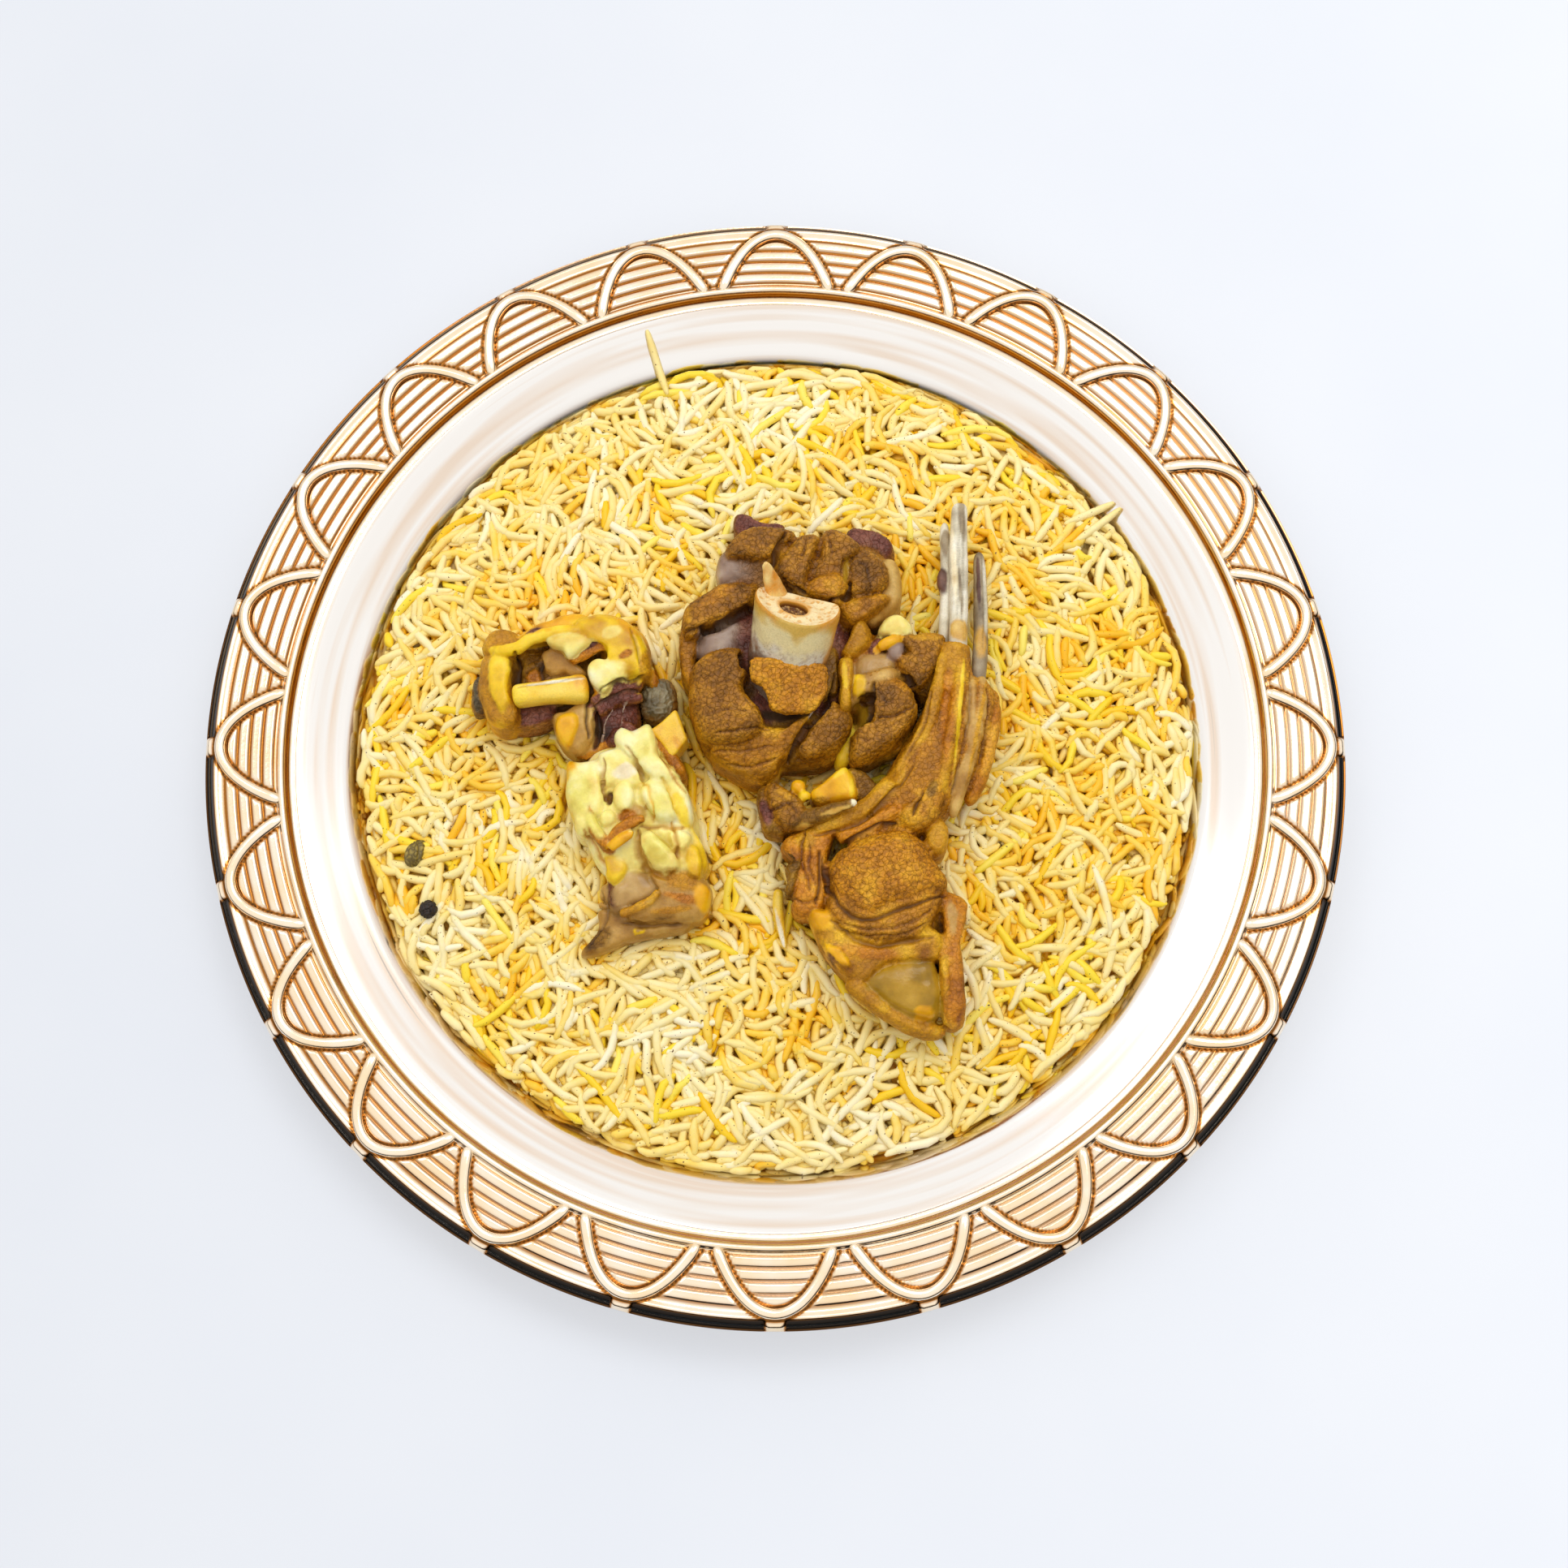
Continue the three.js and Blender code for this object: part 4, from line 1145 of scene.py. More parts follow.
@dataclass
class Cut:
    """One piece of lamb: lumps and bars joined into one skin, then creased, cracked and painted by tissue.

    Attributes:
        name: the piece's name.
        slot: the name of a material slot; not used.
        nodes: the CAD nodes that it stands for.
        lumps: blocks that make up the piece, each with its flesh.
        patches: tissue that shows on top of the lumps' own.
        seams: grooves, gaps and cords.
        voxel: the grid on which the lumps are joined, in millimetres.
        broad: height of the slow unevenness.
        crack_depth: depth of the crack network.
        grain: the three sizes of a plate between cracks.
        finish: what it is dressed in, or None for cooked flesh.
        seed: which noise.
    """

    name: str
    slot: str
    nodes: tuple[str, ...]
    lumps: Sequence[Any]
    patches: Sequence[Patch] = ()
    seams: Sequence[Seam] = ()
    voxel: float = 0.5
    broad: float = 0.6
    crack_depth: float = 0.3
    grain: tuple[float, float, float] = (3.4, 2.0, 2.6)
    finish: Any = None
    seed: int = 1

    def joined(self) -> Surface:
        """The lumps' skins, flat on the rice, joined on the voxel grid and smoothed once."""
        skins = []
        for lump in self.lumps:
            skin = outward(lump.skin())
            skin.points[:, 2] = np.maximum(skin.points[:, 2], FOOT)
            skins.append(skin)
        rough = make_object(f"{self.name}_lumps", merged(skins))
        remesh = rough.modifiers.new("join", "REMESH")
        remesh.mode = "VOXEL"
        remesh.voxel_size = self.voxel * MM
        surface = read_surface(rough)
        bpy.data.objects.remove(rough)
        surface.points += 0.6 * (neighbour_mean(surface.points, surface.quads) - surface.points)
        return surface

    def weights(self, points: np.ndarray) -> np.ndarray:
        """(n, lumps) shares of each lump in each point, near 1 for the lump whose skin is closest."""
        reach = np.stack([lump.reach(points) for lump in self.lumps], 1)
        shares = np.exp(-28 * (reach - reach.min(1, keepdims=True)))
        return shares / shares.sum(1, keepdims=True)

    def shaped(self) -> Surface:
        """The whole piece with its relief and its paint.

        Relief, along the normals = slow noise + seams + patches that rise + the crack network times how much
        the flesh there cracks. Paint = each tissue's dark, middle and light colour by noise, with painted shade
        in hollows and painted light on edges, which the difference between a point and its neighbours' mean tells
        apart.
        """
        surface = self.joined()
        points = surface.points
        normals = point_normals(points, surface.quads)
        ragged = soft_noise(points, 3.4, self.seed + 1, 3)
        fleshes = [lump.flesh for lump in self.lumps]
        shares = self.weights(points + 1.1 * ragged[:, None])
        cracks = shares @ np.array([flesh.cracks for flesh in fleshes])
        gloss = shares @ np.array([flesh.gloss for flesh in fleshes])
        level = soft_noise(points, 5.5, self.seed + 2, 4) * 0.9
        ramps = np.stack([flesh.ramp for flesh in fleshes])
        shade = np.clip(0.5 + 0.8 * level, 0, 1)

        def tinted(ramp: np.ndarray, amount: np.ndarray) -> np.ndarray:
            """Colours of a dark to light ramp at amounts from 0 to 1."""
            low, high = np.clip(1 - 2 * amount, 0, 1)[:, None], np.clip(2 * amount - 1, 0, 1)[:, None]
            return ramp[..., 0, :] * low + ramp[..., 2, :] * high + ramp[..., 1, :] * (1 - low - high)

        tint = sum(shares[:, k : k + 1] * tinted(ramps[k], shade) for k in range(len(fleshes)))
        lift = self.broad * soft_noise(points, 8.5, self.seed + 3, 3)
        for patch in self.patches:
            share = patch.share(points, ragged)
            tint += share[:, None] * (tinted(patch.flesh.ramp, shade) - tint)
            gloss += share * (patch.flesh.gloss - gloss)
            cracks += share * (patch.flesh.cracks - cracks)
            lift += share * patch.rise
        for seam in self.seams:
            share = seam.share(points, ragged)
            lift -= share * seam.depth
            if seam.flesh:
                tint += 0.8 * share[:, None] * (tinted(seam.flesh.ramp, shade) - tint)
                gloss += share * (seam.flesh.gloss - gloss)
                cracks *= 1 - share
            elif seam.depth > 0:
                # painted shade in a sunk seam that shows no flesh of its own
                tint *= 1 - 0.35 * share[:, None]
        inside, own = crack_noise(points + 1.2 * ragged[:, None], self.grain, self.seed + 4)
        opened = 1 - ease(inside, 0.02, 0.17)
        lift += cracks * self.crack_depth * (0.35 * (own - 0.5) - opened)
        firm = 0.35 + 0.65 * np.minimum(2 * cracks, 1)
        lift += 0.38 * firm * soft_noise(points, 3.4, self.seed + 5, 3)
        side = ease(1 - normals[:, 2], 0.25, 0.8) * np.clip(0.6 + 0.7 * ragged, 0, 1) * cracks
        tint += 0.75 * side[:, None] * (tinted(Tissue.SINGED.ramp, shade) - tint)
        tint *= 1 - 0.28 * (opened * cracks)[:, None]
        foot = ease(points[:, 2], SEAT, SEAT + 1.5)
        surface.points = points + normals * (lift * foot)[:, None]
        surface.points[:, 2] = np.maximum(surface.points[:, 2], FOOT)
        hollow = neighbour_mean(surface.points, surface.quads)
        hollow = neighbour_mean(hollow, surface.quads)
        depth = np.einsum("ij,ij->i", hollow - surface.points, normals)
        depth = neighbour_mean(depth[:, None], surface.quads)[:, 0]
        # painted shade in hollows, warmer as blue drops most, and painted light on convex edges
        tint *= np.clip(1 - 2.2 * depth * firm, 0.45, 1.2)[:, None] ** np.array([0.7, 1.0, 1.5])
        surface.paint = {"tint": np.clip(tint, 0, 1), "gloss": gloss, "cracks": cracks}
        return outward(surface)

    def build(self) -> None:
        """Makes the piece."""
        settle(self.name, self.shaped(), self.finish or CookedFlesh(), self.nodes)


T = Tissue  # short in the tables of shapes that follow


# The meat round the marrow bone: brown lobes round a gap, a flap in front of the bone, films between them.
SHANK = Cut("shank_roast", "roasted_meat", ("shank_meat",), (
    Lump((4, 52, 31), (21, 11.5, 13), T.ROAST),
    Lump((26, 48, 30), (9.5, 13, 11.5), T.ROAST),
    Lump((16, 48, 31), (9, 11, 15.4), T.ROAST),
    Lump((12, 43.5, 33), (9.5, 4.5, 13.4), T.UMBER),
    Lump((-3, 46, 30), (6, 6, 12.6), T.UMBER),
    Lump((26, 46, 30), (7, 11, 13.2), T.ROAST),
    Lump((-10, 28, 29), (15, 15, 10), T.PLUM),
    Lump((6, 24, 30), (19, 20, 11), T.PLUM),
    Lump((-9, 6, 29), (15, 16, 11), T.UMBER),
    Lump((6, 0, 28), (15, 10, 12), T.UMBER),
    Slice("-17,47 -17,56 -10,58 -3,57 -3,47.5 -9,46", 42.5, T.MEMBRANE),
    Slice("-15.5,56.5 -14.5,58.5 -10,63 -2.5,64 5,62.8 6.5,60 2.5,56.5 -2,52.5 -6.5,52 -10.5,53 -15,53.5",
        46.6, T.ROAST, (0.04, 0)),
    Slice("0,50.5 1.5,53.5 3.8,56.5 7,60.5 12,61.5 13.8,59.5 13,56 12,52.5 11,48.5 10,45.5 8.5,42 5.5,42 "
        "2.5,45 0.5,47", 48.6, T.ROAST, (0.05, -0.04)),
    Slice("13.8,60.5 15.5,62.8 19,62.6 23.5,60 26.5,56.5 23,53 20.5,51.3 20,48.5 17,49.3 12.3,47.5 12.8,54",
        47.0, T.ROAST),
    Slice("8.8,44 11,46.8 17,49 20.2,47.3 22,44.5 21.2,40.8 18.8,37.3 14,39.3 9,41", 48.2, T.SINGED, (0, 0.03)),
    Slice("22.3,54 26,57.5 30,56.3 33,53.5 34.4,49.5 34.4,46.2 32,43.3 27,41.7 22.8,41 22,45 21.4,49.5",
        44.6, T.ROAST, (-0.06, 0)),
    Slice("19.3,38.5 22,40.7 27,41.7 32.5,43.2 35,42 32.8,38.5 28,35.2 22.5,32.8 19.5,35.5",
        44.0, T.SINGED, (-0.05, 0.05)),
    Slice("34,56 37.5,54 38.6,47 38,41 34,36.5 29,34.5 27,38 30,50", 39.5, T.FASCIA, (-0.1, 0)),
    Slice("21.5,65 24,67.5 29.5,66.5 35,63.5 36.5,59 33,55 26,58 22,61", 35.5, T.PLUM),
    Slice("-12.8,72 -9.5,72.3 -8,70.3 -3.5,69 2.8,69 2,65 -6,64 -12.5,66", 33.0, T.PLUM),
    Slice("-28.5,34.5 -27,39 -21.5,42.8 -16,46 -10,46.6 -4.5,45.4 -5.5,41 -7.5,38.3 -12.5,35.8 -16,33.4 "
        "-21.5,32 -25,28.4 -28,30", 45.6, T.ROAST, (0.05, 0)),
    Slice("-23.5,24 -23,30 -20.5,32 -15,35.5 -11,36.5 -9.5,33 -10,23 -17,21", 40.0, T.MEMBRANE, (-0.1, 0), 4.0),
    Slice("-11,37 -6.5,38 -4.5,30 -7,22 -11,21", 38.5, T.PLUM),
    Slice("-28,34 -24,31 -24.5,22 -25.5,14 -28,18 -29,27", 39.5, T.SINGED),
    Slice("-25,19 -22.5,22.7 -18.5,25 -13,25.6 -10,24.6 -10.3,20 -8,18 -9.5,14.5 -9.5,11.5 -6.5,7.5 -4.5,5 "
        "-3,0 -6,-3 -12,-5 -18.5,-4.5 -23,-1.5 -25.8,6 -26,14", 48.6, T.ROAST, (0.1, -0.03)),
    Slice("-18.5,-3 -11,0.5 -3,1.5 3,1.2 7,2.3 10.5,4.5 9.5,0 5,-6 2,-9.5 0.5,-13 -4,-15 -9,-13.8 -14.5,-11 "
        "-19.5,-7", 43.0, T.SINGED, (0, 0.35)),
    Slice("6.3,-6 9,-2 10.8,2.2 14,6 17.5,9.6 20,8 22.8,5.5 23,1.5 20.8,-2.6 18.5,-5.6 13,-8.3 9,-8.6",
        43.6, T.ROAST, (-0.1, 0.15)),
    Slice("-7.8,18.6 -6,20.3 -0.5,20 6,19 12,18.6 15.3,17.5 15.8,14 15.2,12 16.6,10 14.3,7 11.5,4.4 8,3.4 "
        "1.5,3.4 -1.5,4.6 -2.4,8 -4.2,11.4 -7,14", 50.9, T.LOIN, (-0.02, 0.06), low=46.6),
    Slice("0,19 0,10 6,8 13,10 15,19", 48.0, T.UMBER, low=30),
    Slice("13,26 18,27 19.5,20 18.5,12 14.5,10 13,18", 42.5, T.UMBER),
    Bar("-9.5,15.5,41,0.35,0.35 -6.5,13,41.5,0.3,0.3 -3.5,10,44,0.35,0.35", T.MEMBRANE),
    Bar("11.5,5.6,46,0.4,0.4 10,3.4,43,0.35,0.35 9,0.5,41.5,0.4,0.4", T.MEMBRANE),
), (
    Patch((-13, 50), (5, 4), T.SHADOW, above=24, below=34),
    Patch((-2, 9), (5.5, 6.5), T.PLUM, 20, below=43),
    Patch((2, 5.5), (6, 2.4), T.SHADOW, below=41),
    Patch((21.3, 49), (1, 4), T.CARTILAGE, -8, above=38),
    Patch((-25, 6), (5, 12), T.SINGED, 4, below=45),
    Patch((-12, -9), (12, 4), T.CRUST, -14, below=40),
    Patch((-2, -11), (6, 3), T.AMBER, -14, below=36),
    Patch((-17, 42), (8, 2.4), T.SINGED, 34),
    Patch((14, 40), (4, 2.5), T.SINGED, 10),
    Patch((-18, 29), (6, 3.6), T.MEMBRANE, 14),
    Patch((-25, 36), (3, 3), T.CRUST, 30, below=44),
), (
    Seam("3.5,61.5 0.6,55 -1.6,50 -2.5,45", 0.8, 2.6, T.SHADOW),
    Seam("2,46 5,43 9,41.5", 0.7, 1.6, T.SHADOW),
    Seam("22.5,46 21.4,41 15,38.2", 0.6, 1.5, T.SHADOW),
    Seam("-27,30.5 -21.5,31.5 -16,33.2 -12,35.8 -6.1,39.2", 0.8, 1.8, T.SHADOW),
    Seam("-10,24 -10.2,20 -8,17.8", 0.8, 2.2, T.SHADOW),
    Seam("18.2,18 17.2,12 14,5.6 9.8,1.2 6,-4.5 3.4,-9", 0.7, 1.8, T.SHADOW),
    Seam("-18,-2.6 -10,-1.5 -2,-0.4", 0.5, 0.8),
    Seam("-19,-6 -11,-6.6 -1,-5", 0.45, 0.7),
    Seam("-15,-10 -8,-11 0,-9", 0.45, 0.7),
    Seam("8,53 9,56 9.4,59", 0.5, 0.7),
    Seam("16,59 17,55 16.4,52", 0.5, 0.8),
    Seam("25,52 28,49 29,44", 0.45, 0.6),
    Seam("-20,12 -14,13.4 -10.4,12.8", 0.4, 0.5),
    Seam("-22,3 -15,4.6 -7.5,4", 0.4, 0.5),
), crack_depth=0.32, grain=(2.8, 1.8, 2.2), seed=11)


# The lump beside the shank: two round muscles, yellow fat and a film between them.
SIDE_ROAST = Cut("side_roast", "roasted_meat", ("side_meat",), (
    Lump((33, 7, 29), (9, 13, 11), T.UMBER),
    Lump((42, 21, 29), (9, 10, 10.5), T.UMBER),
    Lump((27, 20, 28), (8, 14, 10.5), T.RUST),
    Slice("29,15 31.5,16.3 36,16.8 39.5,15.2 42,11.5 43,7.5 42,3.5 39.5,-0.3 36,-3.8 31,-7 26.5,-9 23,-9.2 "
        "22.8,-3.5 23.6,0.5 27,0 28.8,3 28,6.5 28.6,11", 44.2, T.ROAST, (0, 0.06)),
    Slice("37.5,30.2 42,31 46.5,32 51.5,31 51.3,27 50,22.5 48,18.5 45.3,15 42.2,12.8 39.4,16.5 37,19.5 36.3,23 "
        "40,25.5", 42.0, T.ROAST, (-0.08, 0)),
    Slice("22.3,16.6 27,18 31.5,19.6 36.2,20 37.3,17.3 31,16.5 28.8,13.5 28.4,10.5 25.5,9.3 22.8,9",
        43.0, T.FASCIA, (0, 0.02)),
    Slice("19,21 20,23 23,22.6 23.4,17 22.6,12 22.6,8.3 21.8,5 19.3,6 19,10 19.6,15 18.7,18",
        44.8, T.CRUST, (0, 0.04)),
    Slice("23.3,21 25,24 28,25 35.7,24.8 36.5,21 31,18.5 24,17", 40.0, T.FILM),
    Slice("19.5,24.5 22,29.5 24.8,34.8 27.2,35 29,31 28.4,27 25.5,24 22.5,22.8", 42.6, T.CRUST, (0, 0.05)),
    Slice("31,31.5 33,35.4 36,37 38.8,36.2 41.5,33 41,29.8 37.5,29.6 33.5,30", 41.8, T.PALE_FAT),
    Slice("34,25.5 37,28 38.6,26.8 38,22.8 34.8,22.6", 41.6, T.MEMBRANE, low=30),
    Slice("29,28 31.5,30 33,27 31,24 28,24.5", 39.5, T.PLUM, low=30),
    Bar("31,26,40.8,1.4,1.3 34,27.6,41.4,1.7,1.5 37.6,29.2,41,1.2,1.2", T.AMBER),
    Lump((21.5, -2, 27), (3, 8, 7), T.GOLD_FAT, -16),
), (
    Patch((25.6, 5.5), (2.3, 4.4), T.CARTILAGE, rise=-0.8),
    Patch((27, 10), (2, 1.6), T.UMBER, 30, rise=-0.6),
    Patch((30, -5), (8, 3), T.SINGED, 20, below=38),
    Patch((46, 30), (5, 2), T.CRUST, 8),
    Patch((38, 14), (4, 2), T.SINGED, -20),
    Patch((25, 14), (2.4, 3.5), T.GOLD_FAT, -6, rise=0.3),
    Patch((20.8, 17), (0.9, 5), T.GOLD_FAT, 4),
), (
    Seam("29.4,14.5 28.6,9.5 28.2,4.6 24.4,1.2", 0.7, 1.6, T.SHADOW),
    Seam("41.6,7 36,4.2 30.5,3.8", 0.5, 1.0),
    Seam("38.2,17.8 41.8,12.6 43.6,8.5", 0.9, 2.4, T.SHADOW),
    Seam("30,12.5 33,9 36,8", 0.45, 0.6),
    Seam("18,23 17.8,15 18.6,7", 0.6, 1.2, T.SHADOW),
), crack_depth=0.34, grain=(2.8, 1.8, 2.2), seed=23)


# The chop: a round eye of loin over a dark band, rind and cartilage, and an arm of stripes to the ribs.
CHOP = Cut("chop_roast", "chop_meat", ("chop_meat",), (
    Lump((32, -55, 28), (18, 16, 10.5), T.UMBER),
    Slice("15.2,-42 16.4,-39 18.5,-36.3 22.5,-33.8 27,-32 32.5,-30.2 37,-29.6 41,-30.8 44.8,-33.5 47.5,-39 "
        "51,-45 49,-49 43.3,-52.3 36.5,-54 29,-57 24.5,-57.6 20,-54.6 16.3,-49.2",
        45.4, T.LOIN, (-0.03, 0.05), 3.4),
    Slice("15.5,-50 20,-56 29,-58 41,-53 49,-49 48.3,-54 45,-60 41,-63.4 35.5,-64 27,-63.4 20,-61.2 15.5,-56.5",
        42.6, T.SINGED, (0, 0.06)),
    Slice("10.3,-54 16,-56 20,-61.5 27,-63.8 35.5,-64.4 43.5,-62.2 49.5,-60.5 49.5,-67 45.5,-69 38,-69.5 "
        "32.5,-70.5 27,-75 23,-75 17,-69.5 12.5,-62.5", 39.6, T.CRUST, (0, 0.12)),
    Slice("26.5,-75.5 29,-71.5 34.5,-69.2 41,-68.2 46.5,-68.8 48.2,-73.5 49.2,-79 47.6,-85.6 41.5,-86 "
        "35.5,-83.5 31,-80", 38.0, T.CARTILAGE, (0, 0.12), 4.2),
    Bar("21.5,-73.5,33,3,4 27,-78.5,32.5,2.6,4.5 33,-83.5,31.5,2.4,4.5 40,-87,30,2.6,4.5 46,-88.6,28.5,2.6,4 "
        "50,-88.4,27,1.8,3", T.CRUST),
    Bar("49.5,-68,36,1.2,2 50.2,-76,35,1.4,3 50.3,-87,31,1.4,3", T.CRUST),
    Slice("49.5,-49 52.5,-47.6 57.5,-51 55.5,-57 54.8,-64 55.6,-75 56,-84 54.5,-87.5 51,-88 49.5,-82 49,-71.5 "
        "48,-66 49.6,-60", 37.0, T.RUST, (-0.15, 0.02)),
    Slice("11.5,-27 16.5,-27.5 17,-32 16,-36 15.2,-44 15.6,-49.5 12.5,-54.6 7.5,-55.5 5.2,-53 5.8,-47.5 "
        "6.8,-41 5,-37 2,-35 3,-31 8,-28.6", 38.6, T.RUST, (0.1, 0)),
    Slice("3,-40.5 7,-37.6 8.8,-38 6.8,-42.8 5,-48.6 3,-48.6 3.6,-44", 39.4, T.UMBER, square=4.0, low=25),
    Bar("11,-28.5,34,4,5 19,-27,35,3.6,5.5 28,-22.6,37,3.4,6 36,-14.5,38.5,3.6,5.5", T.CRUST),
    Bar("18.5,-32,36,3,4 26,-29.2,37.5,3.2,4 33.5,-25.4,39,2.8,4 37,-23.4,40,1.6,3", T.RUST),
    Slice("36.6,-24.5 42,-19.6 47,-15 50.4,-13.8 50.8,-19 48.5,-25.5 45,-29.6 41.5,-31 37.6,-29",
        43.6, T.SINGED, (0.02, 0.02)),
    Slice("44.5,-31 49,-26 51.6,-30 50,-36.5 46,-37", 40, T.CRUST),
    Bar("26,-30,30,6,7 38,-23,32,10,9.5 48,-10,33,11.8,10 55,5,33,11,9.2 59,19,32,9.2,8", T.SINGED),
    Bar("53,12,35,7,7 54,29,36,4.8,5.2", T.CRUST),
    Bar("50.8,25,39.4,1.8,2 49.4,17,40.2,2,2.4 46.6,5,40.6,2.4,2.6 42.5,-4,39.7,2.4,2.6 36,-13,38.2,2,2.4",
        T.CRUST),
    Bar("56,24,39.6,1.7,2 55,13,41,2,2.4 53.4,3,42,2,2.4 51.4,-7,42,2,2.4 49.4,-18,41,1.6,2", T.CRUST),
    Bar("62.4,18,37.2,1.8,2 61.6,8,39,2,2.4 59.4,-3,40,2,2.4 56,-15,39,1.9,2.4 52.6,-26,37.5,1.5,2", T.FASCIA),
    Bar("66.2,15,32.5,1.8,3.4 65.6,3,33.5,2.4,4.4 62.6,-9,33.5,2.6,4.6 58,-21,32,2,3.6", T.RUST),
    Slice("15,-64 20,-66 22.5,-71 19,-70.5 15,-66.5", 40.4, T.AMBER),
), (
    Patch((13.5, -57), (3.4, 4), T.AMBER, -30),
    Patch((18.5, -66), (2.4, 4), T.PLUM, -35, below=39),
    Patch((27, -66.5), (10, 2.2), T.RUST, -6, rise=0.3),
    Patch((52.4, -56), (1.6, 5), T.FASCIA, 4),
    Patch((53.4, -79), (1.8, 8), T.PLUM, 3, below=35),
    Patch((46.5, -18), (1.6, 3), T.UMBER, -20, above=34),
    Patch((58.6, 6), (1.6, 12), T.FASCIA, -4, above=34),
    Patch((55.4, -13), (1.4, 9), T.FASCIA, -22, above=34),
    Patch((55, 5), (0.7, 18), T.GOLD_FAT, -6, above=41),
    Patch((60.8, 2), (0.7, 16), T.CRUST, -12, above=38),
    Patch((51.6, 5), (2.2, 15), T.RUST, -4, above=34),
    Patch((9, -33), (3.4, 3), T.CRUST, 10),
    Patch((43.5, -84), (3, 2.4), T.AMBER, 10),
), (
    Seam("14.4,-38 15.6,-47.3 20,-54.8 27,-57.8 37.3,-54.4 45,-51.4 49.8,-49.4", 0.7, 1.3, T.SHADOW),
    Seam("16,-57.5 24.6,-63.6 33.4,-64.6 47,-62", 0.7, 1.2, T.UMBER),
    Seam("18,-57.5 27,-60.4 38,-59 47,-54", 0.45, 0.7),
    Seam("17,-60 27,-62.2 38,-61.6 46,-57.5", 0.4, 0.6),
    Seam("17.5,-36 24.7,-31.8 30,-29.6 36,-28.2", 0.7, 1.6, T.SHADOW),
    Seam("12,-31 20,-29.8 28,-26 36,-18 41,-11", 0.6, 1.2, T.UMBER),
    Seam("40.9,-26 42,-23 43.6,-19", 0.7, 1.6, T.SHADOW),
    Seam("8.5,-30 8,-38 10.5,-48", 0.6, 1.2),
    Seam("13,-36 13.4,-44 12,-52", 0.7, 1.4, T.SHADOW),
    Seam("10.5,-34 10.2,-41 12,-47", 0.5, 1.0),
    Seam("5,-50 9,-52 13,-50", 0.5, 0.9),
    Seam("46.8,12 44.5,2 38.5,-9", 0.5, 0.8),
    Seam("58.6,18 58,5 55.4,-8 52.4,-19", 0.5, 0.9),
    Seam("64,14 63.6,2 60.5,-11", 0.5, 0.9),
), broad=0.55, crack_depth=0.36, grain=(2.7, 1.8, 2.2), seed=37)


